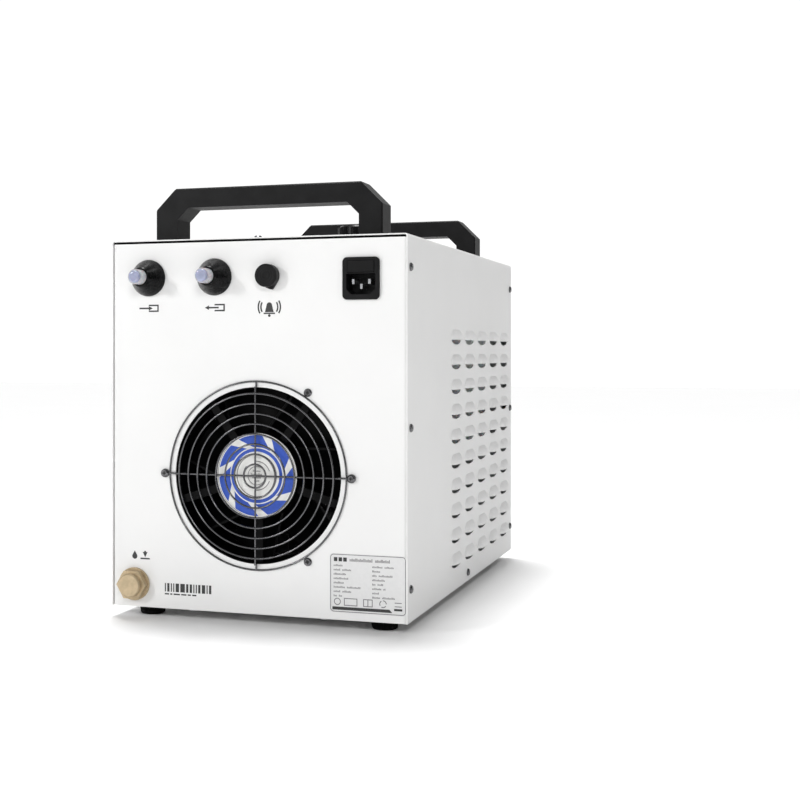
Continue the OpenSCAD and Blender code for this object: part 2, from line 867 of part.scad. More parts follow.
module front_handle() {
    handle(handle_y[1]);
}

module handle_screws() {
    color(zinc) place() for (side = [-1, 1], y = handle_y)
        translate([side * handle_screw_x, y, under_top]) rotate([180, 0, 0])
            pan_screw(handle_screw_d, handle_head_d, handle_head_h, handle_screw_len);
}

// Feet and screws

module foot(side, y) {
    color(rubber_black) place()
        translate([side * (case_w / 2 - foot_from_side), y, 0]) difference() {
            union() {
                up(foot_round)
                    cylinder(d1 = foot_low_d, d2 = foot_top_d, h = tray_z - foot_round);
                rotate_extrude() translate([foot_low_d / 2 - foot_round, foot_round]) intersection() {
                    circle(foot_round);
                    translate([0, -foot_round]) square(foot_round);
                }
                cylinder(d = foot_low_d - 2 * foot_round, h = tray_z);
            }
            up(-reach) cylinder(d = screw_head_d + 3, h = tray_z - 4 + reach);
            cylinder(d = screw_d + 2 * fit_gap, h = tray_z + reach);
        }
}

module foot_rear_left() {
    foot(-1, foot_from_end);
}

module foot_rear_right() {
    foot(1, foot_from_end);
}

module foot_front_left() {
    foot(-1, case_d - foot_from_end);
}

module foot_front_right() {
    foot(1, case_d - foot_from_end);
}

module bottom_screws() {
    color(zinc) place() {
        bottom_screw_places() up(-sheet_t) rotate([180, 0, 0])
            pan_screw(screw_d, screw_head_d, screw_head_h, sheet_t + tray_t + 2);
        foot_places() up(-4) rotate([180, 0, 0])
            pan_screw(screw_d, screw_head_d, screw_head_h, 4 + tray_t + 2);
    }
}

module cover_screws() {
    color(wire_steel) place() {
        for (y = side_screw_y)
            side_screws_of_panel(y) up(sheet_t + cover_gap)
                pan_screw(screw_d, screw_head_d, screw_head_h, screw_len);
        for (side = [-1, 1])
            translate([side * case_w / 2, case_d / 2, tray_screw_z]) rotate([0, side * 90, 0])
                pan_screw(screw_d, screw_head_d, screw_head_h, screw_len);
        for (y = side_screw_y)
            translate([0, y, top_z]) pan_screw(screw_d, screw_head_d, screw_head_h, screw_len);
    }
}

// Fan

// Local z runs inward from the rear panel's outer face along the fan's axis
module on_fan_axis() {
    place() translate([fan_x, 0, fan_z]) rotate([-90, 0, 0]) children();
}

module fan_guard() {
    color(wire_steel) place() on_rear(fan_x, fan_z) {
        up(guard_ring_out)
            rotate_extrude() translate([guard_ring_d / 2, 0]) circle(d = guard_wire);
        for (i = [0:guard_rings - 1])
            up(guard_inner_out)
                rotate_extrude() translate([guard_first_r + i * guard_step, 0])
                    circle(d = guard_wire);
        guard_stay(90, false);
        guard_stay(0, true);
    }
}

// Straight wire across the inner rings, stepped down to the outer ring at both ends
module guard_stay(turn, with_eyes) {
    bend = guard_rise / 2;
    low = guard_ring_out + guard_weld;
    high = guard_inner_out - guard_wire + guard_weld;
    step_at = (guard_ring_d / 2 + guard_first_r + (guard_rings - 1) * guard_step) / 2;
    end_at = with_eyes ? fan_screw_r - guard_eye_r : guard_ring_d / 2;
    rotate([0, 0, turn]) {
        rotate([0, 90, 0])
            translate([-high, 0, 0]) cylinder(d = guard_wire, h = 2 * step_at, center = true);
        for (side = [0, 180])
            rotate([0, 0, side]) {
                translate([step_at, 0, low - guard_wire / 2 - 0.2])
                    cylinder(d = guard_wire, h = high - low + guard_wire + 0.4);
                translate([step_at, 0, low])
                    rotate([0, 90, 0]) cylinder(d = guard_wire, h = end_at - step_at);
                if (with_eyes)
                    translate([fan_screw_r, 0, low])
                        rotate_extrude() translate([guard_eye_r, 0]) circle(d = guard_wire);
            }
    }
}

module guard_screws() {
    color(wire_steel) place() on_rear(fan_x, fan_z)
        for (a = fan_screw_angles)
            rotate([0, 0, a]) translate([fan_screw_r, 0, guard_seat(a)])
                pan_screw(screw_d, screw_head_d, screw_head_h, fan_screw_len);
}

// Screws at the eyes sit on the wire, the others on the panel
function guard_seat(a) = a % 180 == 0 ? guard_ring_out + guard_weld + guard_wire / 2 : 0;

module fan_frame() {
    color(black_plastic) on_fan_axis() {
        difference() {
            union() {
                up(fan_start) cylinder(r = fan_flange_r, h = fan_flange_t);
                up(fan_start)
                    cylinder(r = fan_bore_d / 2 + fan_wall, h = fan_depth);
                up(fan_end - fan_flange_t)
                    cylinder(r = fan_flange_r, h = fan_flange_t);
                for (a = fan_screw_angles)
                    rotate([0, 0, -a]) translate([fan_screw_r, 0, fan_start])
                        cylinder(r = lug_r, h = fan_flange_t);
            }
            up(fan_start - reach)
                cylinder(d = fan_bore_d, h = fan_depth + 2 * reach);
            for (a = fan_screw_angles)
                rotate([0, 0, -a]) translate([fan_screw_r, 0, fan_start - reach])
                    cylinder(d = screw_d + 2 * fit_gap, h = fan_screw_len);
        }
        difference() {
            union() {
                up(rear_face) cylinder(d = hub_d, h = cup_end - rear_face);
                for (i = [0:strut_count - 1])
                    rotate([0, 0, 90 + i * 360 / strut_count])
                        translate([hub_d / 2 - cup_wall, -strut_w / 2, strut_start])
                            cube([fan_bore_d / 2 - hub_d / 2 + cup_wall + fan_wall / 2, strut_w, strut_t]);
            }
            up(rear_face + 2)
                cylinder(d = hub_d - 2 * cup_wall, h = cup_end);
        }
        difference() {
            up(rear_face + 1)
                cylinder(r = bearing_tube_r, h = stator_end - rear_face - 1);
            up(bearing_first)
                cylinder(r = bearing_r + fit_gap / 2, h = fan_depth);
        }
    }
}

module fan_stator() {
    color(copper) on_fan_axis() difference() {
        up(stator_start) union() {
            cylinder(r = bearing_tube_r + stator_core_t, h = stator_h);
            for (i = [0:stator_poles - 1])
                rotate([0, 0, i * 360 / stator_poles]) {
                    translate([0, -stator_pole_w / 2, 0])
                        cube([stator_r - stator_shoe_t / 2, stator_pole_w, stator_h]);
                    intersection() {
                        cylinder(r = stator_r, h = stator_h);
                        translate([stator_r - stator_shoe_t, -stator_shoe_w / 2, 0])
                            cube([2 * stator_shoe_t, stator_shoe_w, stator_h]);
                    }
                }
        }
        up(fan_start) cylinder(r = bearing_tube_r + fit_gap / 2, h = fan_depth);
    }
}

module fan_bearings() {
    color(zinc) on_fan_axis() for (start = [bearing_first, bearing_last])
        up(start) difference() {
            cylinder(r = bearing_r, h = bearing_t);
            up(-reach)
                cylinder(r = fan_shaft_d / 2 + running_gap, h = bearing_t + 2 * reach);
        }
}

module fan_shaft() {
    color(zinc) on_fan_axis()
        up(bearing_first + 1)
            cylinder(d = fan_shaft_d, h = rotor_end - rotor_wall - bearing_first - 1);
}

// One blade: an arched strip laid across the rotor's rim at the blade angle
module fan_blade() {
    chord = (rotor_end - rotor_start) / sin(blade_angle);
    arch_r = chord * 1.1;
    arch_drop = sqrt(arch_r * arch_r - chord * chord / 4);
    up((rotor_start + rotor_end) / 2) rotate([blade_angle, 0, 0])
        rotate([90, 0, 90]) linear_extrude(fan_bore_d / 2) intersection() {
            translate([0, -arch_drop]) difference() {
                circle(arch_r + blade_t / 2, $fn = 96);
                circle(arch_r - blade_t / 2, $fn = 96);
            }
            translate([-chord / 2, -chord / 4]) square([chord, chord / 2]);
        }
}

module fan_rotor() {
    color(black_plastic) on_fan_axis() {
        difference() {
            up(rotor_start) cylinder(r = rotor_r, h = rotor_end - rotor_start);
            up(rotor_start - reach)
                cylinder(r = rotor_r - rotor_wall, h = rotor_end - rotor_wall - rotor_start + reach);
        }
        for (i = [0:blade_count - 1])
            intersection() {
                rotate([0, 0, i * 360 / blade_count]) fan_blade();
                difference() {
                    up(rotor_start + 0.5)
                        cylinder(r = fan_bore_d / 2 - tip_gap, h = rotor_end - rotor_start - 1);
                    up(rotor_start - reach)
                        cylinder(r = rotor_r - rotor_wall / 2, h = fan_depth);
                }
            }
    }
}

// Radiator

module radiator_core() {
    color(radiator_black) place() translate([-core_w / 2, core_start, core_low]) {
        for (i = [0:core_tubes - 1])
            up(i * (core_h - tube_t) / (core_tubes - 1))
                cube([core_w, core_d, tube_t]);
        for (i = [0:core_fins - 1])
            translate([i * (core_w - fin_t) / (core_fins - 1), 0, 0])
                cube([fin_t, core_d, core_h]);
    }
}

// Upper and lower tank, with both hose stubs on the upper one
module radiator_headers() {
    color(radiator_black) place() {
        for (low = [core_low - header_h, core_top])
            translate([0, core_mid_y, low])
                linear_extrude(header_h) round_rect(core_w, core_d, header_round);
        for (x = [return_x, to_tank_x])
            translate([x, core_mid_y, header_top - reach]) difference() {
                cylinder(d = barb_d, h = stub_len + reach);
                up(reach) cylinder(d = barb_bore, h = stub_len + reach);
            }
    }
}

module radiator_duct() {
    color(zinc) place() {
        difference() {
            translate([-core_w / 2, duct_start, core_low])
                cube([core_w, duct_d, core_h]);
            translate([-core_w / 2 + sheet_t, duct_start + sheet_t, core_low + sheet_t])
                cube([core_w - 2 * sheet_t, duct_d, core_h - 2 * sheet_t]);
            translate([fan_x, duct_start - reach, fan_z]) rotate([-90, 0, 0])
                cylinder(d = fan_bore_d, h = sheet_t + 2 * reach);
        }
        translate([-duct_foot_w / 2, core_start - sheet_t, tray_top])
            cube([duct_foot_w, sheet_t, core_low - tray_top + sheet_t / 2]);
        translate([-duct_foot_w / 2, core_start - sheet_t, tray_top])
            cube([duct_foot_w, core_d, sheet_t]);
    }
}

// Tank and filler

module water_tank() {
    color(tank_white) place() difference() {
        union() {
            translate([0, tank_mid_y, tank_low])
                linear_extrude(tank_h) round_rect(tank_w, tank_d, tank_corner);
            translate([0, filler_y, tank_top - reach])
                cylinder(d = neck_d, h = neck_top - tank_top + reach);
            translate([to_tank_x, tank_start + reach, to_tank_z]) rotate([90, 0, 0])
                cylinder(d = barb_d, h = stub_len + reach);
            for (spot = [[pump_x, pump_y], [drain_x, drain_y]])
                translate([spot[0], spot[1], tank_low - stub_len])
                    cylinder(d = barb_d, h = stub_len + reach);
        }
        translate([0, tank_mid_y, tank_low + tank_wall])
            linear_extrude(tank_h - 2 * tank_wall)
                round_rect(tank_w - 2 * tank_wall, tank_d - 2 * tank_wall, tank_corner - tank_wall);
        translate([0, filler_y, tank_top - 2 * tank_wall])
            cylinder(d = neck_d - 2 * neck_wall, h = neck_top);
        translate([to_tank_x, tank_start + 2 * tank_wall, to_tank_z]) rotate([90, 0, 0])
            cylinder(d = barb_bore, h = stub_len + 3 * tank_wall);
        for (spot = [[pump_x, pump_y], [drain_x, drain_y]])
            translate([spot[0], spot[1], tank_low - stub_len - reach])
                cylinder(d = barb_bore, h = stub_len + 3 * tank_wall);
    }
}

module tank_stand() {
    depth = tank_d - 2 * stand_inset;
    color(zinc) place() translate([0, tank_start + stand_inset, 0]) difference() {
        union() {
            translate([-stand_w / 2, 0, tank_low - stand_t]) cube([stand_w, depth, stand_t]);
            for (side = [-1, 1])
                translate([side * (stand_w / 2 - stand_t / 2), depth / 2, (tray_top + tank_low) / 2])
                    cube([stand_t, depth, tank_low - tray_top], center = true);
            for (side = [0, 1])
                mirror([side, 0, 0])
                    translate([stand_w / 2 - stand_t, 0, tray_top])
                        cube([stand_foot, depth, stand_t]);
        }
        translate([pump_x, depth / 2, tank_low]) cylinder(d = clamp_d + 4, h = 4 * stand_t, center = true);
    }
}

module filler_collar() {
    color(rubber_black) place() translate([0, filler_y, under_top]) difference() {
        union() {
            up(sheet_t) cylinder(d = collar_d, h = collar_t);
            up(-collar_t) cylinder(d = neck_d + 6 - 2 * fit_gap, h = collar_t + 2 * sheet_t);
        }
        up(-collar_t - reach)
            cylinder(d = neck_d + 2 * fit_gap, h = 2 * collar_t + sheet_t + 2 * reach);
    }
}

module filler_cap() {
    low = top_z + collar_t + slide_gap;
    high = top_z + filler_cap_h;
    rim = 2;
    color(black_plastic) place() translate([0, filler_y, 0]) difference() {
        union() {
            up(low) linear_extrude(high - rim - low) difference() {
                circle(d = filler_cap_d);
                for (i = [0:filler_ribs - 1])
                    rotate([0, 0, i * 360 / filler_ribs])
                        translate([filler_cap_d / 2 + 0.4, 0]) circle(1.4, $fn = 24);
            }
            up(high - rim)
                cylinder(d1 = filler_cap_d - 3, d2 = filler_cap_d - 3 - 2 * rim, h = rim);
        }
        up(low - reach)
            cylinder(d = neck_d + 2 * slide_gap, h = neck_top + collar_t + slide_gap - low + reach);
    }
}

module filler_gasket() {
    color(rubber_black) place() translate([0, filler_y, neck_top + slide_gap]) difference() {
        cylinder(d = neck_d, h = collar_t - fit_gap);
        up(-reach) cylinder(d = neck_d - 2 * neck_wall - 2, h = collar_t + 2 * reach);
    }
}

// Pump

module pump_motor() {
    color(black_plastic) place() translate([pump_x, pump_y, 0]) difference() {
        union() {
            up(motor_low) cylinder(d = motor_d, h = motor_h);
            up(motor_top - volute_flange_t)
                cylinder(d = volute_d, h = volute_flange_t);
        }
        up(can_low) cylinder(r = can_r, h = motor_h);
        up(can_low - shaft_seat)
            cylinder(d = pump_shaft_d + fit_gap, h = motor_h);
    }
}

module pump_volute() {
    color(black_plastic) place() translate([pump_x, pump_y, 0]) difference() {
        union() {
            up(motor_top) cylinder(d = volute_d, h = volute_h);
            up(volute_top - reach)
                cylinder(d = barb_d, h = stub_len + reach);
            translate([outlet_x - pump_x, 0, pump_out_z]) rotate([90, 0, 0])
                cylinder(d = barb_d, h = pump_y - pump_out_y);
        }
        up(motor_top - reach)
            cylinder(d = volute_d - 2 * volute_wall, h = volute_h - volute_wall + reach);
        up(volute_top - volute_wall - reach)
            cylinder(d = barb_bore, h = stub_len + volute_wall + 2 * reach);
        translate([outlet_x - pump_x, 0, pump_out_z]) rotate([90, 0, 0])
            cylinder(d = barb_bore, h = pump_y - pump_out_y + reach);
    }
}

// Magnet in the motor's can, with the impeller's disc, hub and straight vanes on top
module pump_rotor() {
    magnet_low = can_low + rotor_gap;
    disc_low = motor_top + rotor_gap;
    disc_mid = disc_low + impeller_disc_t / 2;
    color(tank_white) place() translate([pump_x, pump_y, 0]) difference() {
        union() {
            up(magnet_low) cylinder(r = can_r - 1, h = disc_mid - magnet_low);
            up(disc_low) cylinder(r = impeller_r, h = impeller_disc_t);
            up(disc_mid) cylinder(r = impeller_hub_r, h = impeller_vane_h);
            for (i = [0:impeller_vanes - 1])
                rotate([0, 0, i * 360 / impeller_vanes])
                    translate([impeller_hub_r - 1, -impeller_vane_t / 2, disc_mid])
                        cube([impeller_r - impeller_hub_r - 1, impeller_vane_t, impeller_vane_h - 1]);
        }
        up(can_low - reach)
            cylinder(r = pump_shaft_d / 2 + running_gap, h = motor_h);
    }
}

module pump_shaft() {
    color(tank_white) place() translate([pump_x, pump_y, can_low - shaft_seat])
        cylinder(d = pump_shaft_d, h = shaft_top - can_low + shaft_seat);
}

module pump_bracket() {
    plate = motor_d + 2 * bracket_margin;
    color(zinc) place() translate([pump_x, pump_y, tray_top]) {
        translate([-plate / 2, -plate / 2, 0]) cube([plate, plate, bracket_t]);
        difference() {
            up(bracket_t / 2)
                cylinder(d = motor_d + 2 * bracket_t + 2 * fit_gap, h = bracket_collar_h);
            cylinder(d = motor_d + 2 * fit_gap, h = 2 * bracket_collar_h);
        }
    }
}

// Hoses and flow switch

module flow_switch() {
    color(black_plastic) place() translate([outlet_x, riser_y, switch_low]) difference() {
        union() {
            cylinder(d = switch_body_d, h = switch_body_h);
            up(-stub_len) cylinder(d = barb_d, h = switch_body_h + 2 * stub_len);
            translate([switch_body_d / 2 + switch_box[0] / 4, 0, switch_body_h / 2])
                cube(switch_box, center = true);
        }
        up(-stub_len - reach)
            cylinder(d = barb_bore, h = switch_body_h + 2 * stub_len + 2 * reach);
    }
}

module hose_return() {
    color(hose_grey) place() in_side_plane(return_x)
        hose([[rear_face + inner_barb - stub_len, port_z], [core_mid_y, port_z], [core_mid_y, header_top]]);
}

module hose_to_tank() {
    color(hose_grey) place() in_side_plane(to_tank_x)
        hose([[core_mid_y, header_top], [core_mid_y, to_tank_z], [tank_start - fit_gap, to_tank_z]]);
}

module hose_suction() {
    color(hose_grey) place() translate([pump_x, pump_y, volute_top]) difference() {
        cylinder(d = hose_d, h = tank_low - stand_t - volute_top);
        up(-reach) cylinder(d = hose_bore, h = tank_low);
    }
}

module hose_delivery() {
    color(hose_grey) place() in_side_plane(outlet_x)
        hose([[pump_out_y + stub_len, pump_out_z], [riser_y, pump_out_z], [riser_y, switch_low]]);
}

module hose_outlet() {
    color(hose_grey) place() in_side_plane(outlet_x)
        hose([[riser_y, switch_low + switch_body_h], [riser_y, port_z],
              [rear_face + inner_barb - stub_len, port_z]]);
}

module hose_drain() {
    color(hose_grey) place() in_side_plane(drain_x)
        hose([[drain_y, tank_low], [drain_y, drain_z], [rear_face + inner_barb - stub_len, drain_z]]);
}

module clamp(x, y, z, turn) {
    translate([x, y, z]) rotate([turn, 0, 0]) {
        difference() {
            cylinder(d = clamp_d, h = clamp_w, center = true);
            cylinder(d = hose_d + 2 * fit_gap, h = 2 * clamp_w, center = true);
        }
        translate([0, (clamp_d + clamp_screw[1]) / 2 - 0.5, 0]) cube(clamp_screw, center = true);
    }
}

module hose_clamps() {
    half = stub_len / 2;
    rear_end = rear_face + inner_barb - half;
    color(zinc) place() {
        clamp(return_x, rear_end, port_z, 90);
        clamp(outlet_x, rear_end, port_z, 90);
        clamp(drain_x, rear_end, drain_z, 90);
        clamp(return_x, core_mid_y, header_top + half, 0);
        clamp(to_tank_x, core_mid_y, header_top + half, 0);
        clamp(to_tank_x, tank_start - half, to_tank_z, 90);
        clamp(pump_x, pump_y, volute_top + half, 0);
        clamp(pump_x, pump_y, tank_low - half - stand_t - fit_gap, 0);
        clamp(outlet_x, pump_out_y + half, pump_out_z, 90);
        clamp(outlet_x, riser_y, switch_low - half, 0);
        clamp(outlet_x, riser_y, switch_low + switch_body_h + half, 0);
        clamp(drain_x, drain_y, tank_low - half, 0);
    }
}

// Water ports

module water_fitting(x) {
    color(tank_white) place() on_rear(x, port_z) difference() {
        union() {
            up(-inner_barb) cylinder(d = barb_d, h = inner_barb);
            up(-sheet_t - inner_flange_t)
                cylinder(d = inner_flange_d, h = inner_flange_t, $fn = 6);
            up(-sheet_t - reach)
                cylinder(d = port_thread_d, h = port_thread_out + sheet_t + reach);
            cylinder(d = port_barb_d - 2 * barb_step, h = barb_out);
            up(nut_h + slide_gap)
                cylinder(d = port_barb_d, h = barb_out - nut_h - slide_gap);
        }
        up(-inner_barb - reach)
            cylinder(d = barb_bore, h = inner_barb + barb_out);
        cylinder(d = port_bore, h = barb_out + reach);
    }
}

module domed_nut(x) {
    color(black_plastic) place() on_rear(x, port_z) difference() {
        intersection() {
            union() {
                cylinder(d = nut_d, h = nut_rim);
                up(nut_rim) sphere(d = nut_d);
            }
            cylinder(d = nut_d + reach, h = nut_h);
        }
        up(-reach)
            cylinder(d = port_thread_d + 2 * fit_gap, h = port_thread_out + fit_gap + reach);
        cylinder(d = port_barb_d + 2 * fit_gap, h = nut_h + reach);
    }
}

// Soft plug: a shank in the barb's bore and a rounded head on the barb's end
module barb_plug(x) {
    round_r = plug_tip * 0.7;
    color(plug_blue) place() on_rear(x, port_z) {
        up(barb_out - plug_shank)
            cylinder(d = port_bore - 2 * fit_gap, h = plug_shank + plug_tip / 2);
        up(barb_out + fit_gap) rotate_extrude() {
            square([plug_d / 2, plug_tip - fit_gap - round_r]);
            square([plug_d / 2 - round_r, plug_tip - fit_gap]);
            intersection() {
                translate([plug_d / 2 - round_r, plug_tip - fit_gap - round_r]) circle(round_r);
                square([plug_d, plug_tip]);
            }
        }
    }
}

module inlet_fitting() {
    water_fitting(inlet_x);
}

module inlet_nut() {
    domed_nut(inlet_x);
}

module inlet_plug() {
    barb_plug(inlet_x);
}

module outlet_fitting() {
    water_fitting(outlet_x);
}

module outlet_nut() {
    domed_nut(outlet_x);
}

module outlet_plug() {
    barb_plug(outlet_x);
}

module drain_fitting() {
    color(drain_brass) place() on_rear(drain_x, drain_z) difference() {
        union() {
            cylinder(d = drain_flange_d, h = drain_flange_t);
            up(-sheet_t - reach)
                cylinder(d = drain_thread_d, h = drain_thread_end + sheet_t + reach);
            up(-sheet_t - drain_nut_t)
                cylinder(d = drain_nut_d, h = drain_nut_t, $fn = 6);
            up(-inner_barb) cylinder(d = barb_d, h = inner_barb);
        }
        up(-inner_barb - reach)
            cylinder(d = barb_bore, h = inner_barb + drain_out + reach);
    }
}

module drain_cap() {
    hex_start = drain_flange_t + slide_gap;
    hex_end = drain_out - drain_disc_t;
    color(drain_brass) place() on_rear(drain_x, drain_z) difference() {
        union() {
            up(hex_start)
                cylinder(d = drain_hex / cos(30), h = hex_end - hex_start, $fn = 6);
            up(hex_end - reach) cylinder(d = drain_disc_d, h = drain_out - hex_end);
            up(drain_out - reach)
                cylinder(d1 = drain_disc_d, d2 = drain_disc_d - 2, h = reach);
        }
        up(hex_start - reach)
            cylinder(d = drain_thread_d + 2 * slide_gap,
                h = drain_thread_end + slide_gap - hex_start + reach);
    }
}

// Alarm socket

module alarm_socket() {
    color(black_plastic) place() on_rear(alarm_x, port_z) difference() {
        union() {
            up(-sheet_t - alarm_back)
                cylinder(d = alarm_barrel_d, h = alarm_barrel_out + sheet_t + alarm_back);
            cylinder(d = alarm_flange_d, h = alarm_flange_t);
            up(-sheet_t - alarm_nut_t)
                cylinder(d = alarm_nut_d, h = alarm_nut_t, $fn = 6);
        }
        up(-alarm_well)
            cylinder(d = alarm_inner_d, h = alarm_barrel_out + alarm_well + reach);
        for (side = [-1, 1])
            translate([side * alarm_pin_x, 0, -sheet_t - alarm_pin_back])
                cylinder(d = alarm_pin_d + fit_gap, h = alarm_pin_back + 2 * reach);
    }
}

module alarm_pins() {
    color(drain_brass) place() on_rear(alarm_x, port_z) for (side = [-1, 1])
        translate([side * alarm_pin_x, 0, -sheet_t - alarm_pin_back])
            cylinder(d = alarm_pin_d, h = alarm_barrel_out + sheet_t + alarm_pin_back - 2);
}

module alarm_cap() {
    start = alarm_flange_t + slide_gap;
    tab_reach = alarm_cap_d / 2 + 3;
    color(black_plastic) place() on_rear(alarm_x, port_z) difference() {
        union() {
            up(start) cylinder(d = alarm_cap_d, h = alarm_out - alarm_edge - start);
            up(alarm_out - alarm_edge)
                cylinder(d1 = alarm_cap_d, d2 = alarm_cap_d - 2 * alarm_edge, h = alarm_edge);
            up(start) linear_extrude(alarm_tab_t) rotate([0, 0, alarm_tab_angle])
                polygon([[0, -alarm_cap_d * 0.42], [tab_reach, 0], [0, alarm_cap_d * 0.42]]);
        }
        up(start - reach)
            cylinder(d = alarm_barrel_d + 2 * slide_gap, h = alarm_barrel_out + slide_gap - start + reach);
    }
}

// Mains socket

module plug_outline() {
    w = plug_w / 2;
    h = plug_h / 2;
    polygon([[-w, h], [w, h], [w, -h + plug_bevel], [w - plug_bevel, -h],
             [-w + plug_bevel, -h], [-w, -h + plug_bevel]]);
}

module mains_pin_places() {
    for (side = [-1, 1])
        translate([side * mains_pin_x, plug_mid + mains_pin_rise, 0]) children();
    translate([0, plug_mid - mains_pin_rise, 0]) children();
}

module mains_inlet() {
    color(black_plastic) place() on_rear(mains_x, mains_z) difference() {
        union() {
            linear_extrude(mains_flange) round_rect(mains_w, mains_h, 4);
            up(-mains_body_d) linear_extrude(mains_body_d + reach)
                square([mains_body_w, mains_body_h], center = true);
        }
        translate([0, plug_mid, mains_flange - plug_depth])
            linear_extrude(plug_depth + reach) plug_outline();
        translate([0, drawer_mid, mains_flange - drawer_depth - slide_gap])
            linear_extrude(drawer_depth + reach + slide_gap)
                square([drawer_w + 2 * slide_gap, drawer_h + 2 * slide_gap], center = true);
        mains_pin_places() up(-mains_body_d - reach)
            linear_extrude(mains_body_d)
                square([mains_pin_w + fit_gap, mains_pin_h + fit_gap], center = true);
    }
}

module mains_pins() {
    color(zinc) place() on_rear(mains_x, mains_z) mains_pin_places()
        up(-mains_body_d - 6)
            linear_extrude(mains_body_d + 6 + mains_flange - 2)
                square([mains_pin_w, mains_pin_h], center = true);
}

module fuse_drawer() {
    front = mains_flange + 0.4;
    color(black_plastic) place() on_rear(mains_x, mains_z) translate([0, drawer_mid, 0]) difference() {
        up(mains_flange - drawer_depth)
            linear_extrude(drawer_depth + front - mains_flange)
                square([drawer_w, drawer_h], center = true);
        translate([-fuse_len / 2 - 1, -fuse_d / 2 - fit_gap, mains_flange - drawer_depth + 2])
            cube([fuse_len + 2, drawer_h, drawer_depth - drawer_front - 4]);
    }
}

module fuse() {
    color(fuse_glass) place() on_rear(mains_x, mains_z)
        translate([0, drawer_mid, mains_flange - drawer_depth / 2 - 3]) rotate([0, 90, 0]) {
            cylinder(d = fuse_d - 0.6, h = fuse_len, center = true);
            for (side = [-1, 1])
                up(side * (fuse_len / 2 - 2.5))
                    cylinder(d = fuse_d, h = 5, center = true);
        }
}

// Front panel pieces

module standoff_places() {
    for (sx = [-1, 1], sy = [-1, 1])
        translate([sx * (board_w / 2 - standoff_inset), sy * (board_h / 2 - standoff_inset), 0])
            children();
}

module display_bezel() {
    color(black_plastic) place() on_front(0, display_z) difference() {
        union() {
            linear_extrude(display_out) round_rect(display_w, display_h, 5);
            up(-display_body_d) linear_extrude(display_body_d + reach)
                square([display_w - 2 * display_lip, display_h - 2 * display_lip], center = true);
        }
        up(display_out - display_window_t) linear_extrude(2 * display_window_t)
            round_rect(display_w - 2 * display_frame, display_h - 2 * display_frame, 2);
        up(-display_body_d - reach)
            linear_extrude(display_body_d + reach + display_out - 2 * display_window_t - 1)
                square([display_w - 2 * display_frame, display_h - 2 * display_frame], center = true);
    }
}

module control_board() {
    board_low = -sheet_t - standoff_h - board_t;
    color(board_green) place() on_front(0, display_z) {
        up(board_low) linear_extrude(board_t)
            square([board_w, board_h], center = true);
        standoff_places() up(board_low + board_t / 2)
            cylinder(d = standoff_d, h = standoff_h + board_t / 2);
        for (block = board_blocks)
            translate([block[0] * board_w, 0, board_low - block[3] / 2 + board_t / 4])
                cube([block[1], block[2], block[3] + board_t / 2], center = true);
    }
}

module power_switch() {
    color(black_plastic) place() on_front(switch_x, display_z) difference() {
        union() {
            linear_extrude(switch_flange_t) round_rect(switch_flange_w, switch_flange_h, 2);
            up(-switch_body_d_in) linear_extrude(switch_body_d_in + reach)
                square([switch_body_w, switch_body_hh], center = true);
        }
        up(-rocker_depth - 1) linear_extrude(rocker_depth + 4)
            square([rocker_w + 2 * slide_gap, rocker_h + 2 * slide_gap + 1], center = true);
        up(rocker_axis) rotate([0, 90, 0])
            cylinder(r = rocker_pivot_r + running_gap, h = rocker_w + 4, center = true);
    }
}

module power_rocker() {
    color(black_plastic) place() on_front(switch_x, display_z) {
        intersection() {
            up(-rocker_depth + 0.5) linear_extrude(rocker_depth + 3)
                square([rocker_w, rocker_h], center = true);
            up(rocker_axis) rotate([0, 90, 0])
                difference() {
                    cylinder(r = rocker_h / 2 + 0.4, h = rocker_w, center = true, $fn = 64);
                    translate([-rocker_h - 4.5, 0, 0])
                        cylinder(r = rocker_h, h = rocker_w + 2, center = true, $fn = 64);
                }
        }
        up(rocker_axis) rotate([0, 90, 0])
            cylinder(r = rocker_pivot_r, h = rocker_w + 3.4, center = true);
    }
}

base_tray();
rear_panel();
front_panel();
cover();
rear_handle();
front_handle();
handle_screws();
foot_rear_left();
foot_rear_right();
foot_front_left();
foot_front_right();
bottom_screws();
cover_screws();
fan_guard();
guard_screws();
fan_frame();
fan_stator();
fan_bearings();
fan_shaft();
fan_rotor();
radiator_core();
radiator_headers();
radiator_duct();
water_tank();
tank_stand();
filler_collar();
filler_cap();
filler_gasket();
pump_motor();
pump_volute();
pump_rotor();
pump_shaft();
pump_bracket();
flow_switch();
hose_return();
hose_to_tank();
hose_suction();
hose_delivery();
hose_outlet();
hose_drain();
hose_clamps();
inlet_fitting();
inlet_nut();
inlet_plug();
outlet_fitting();
outlet_nut();
outlet_plug();
drain_fitting();
drain_cap();
alarm_socket();
alarm_pins();
alarm_cap();
mains_inlet();
mains_pins();
fuse_drawer();
fuse();
display_bezel();
control_board();
power_switch();
power_rocker();
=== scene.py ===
import math

import bmesh
import bpy
from mathutils import Matrix, Vector


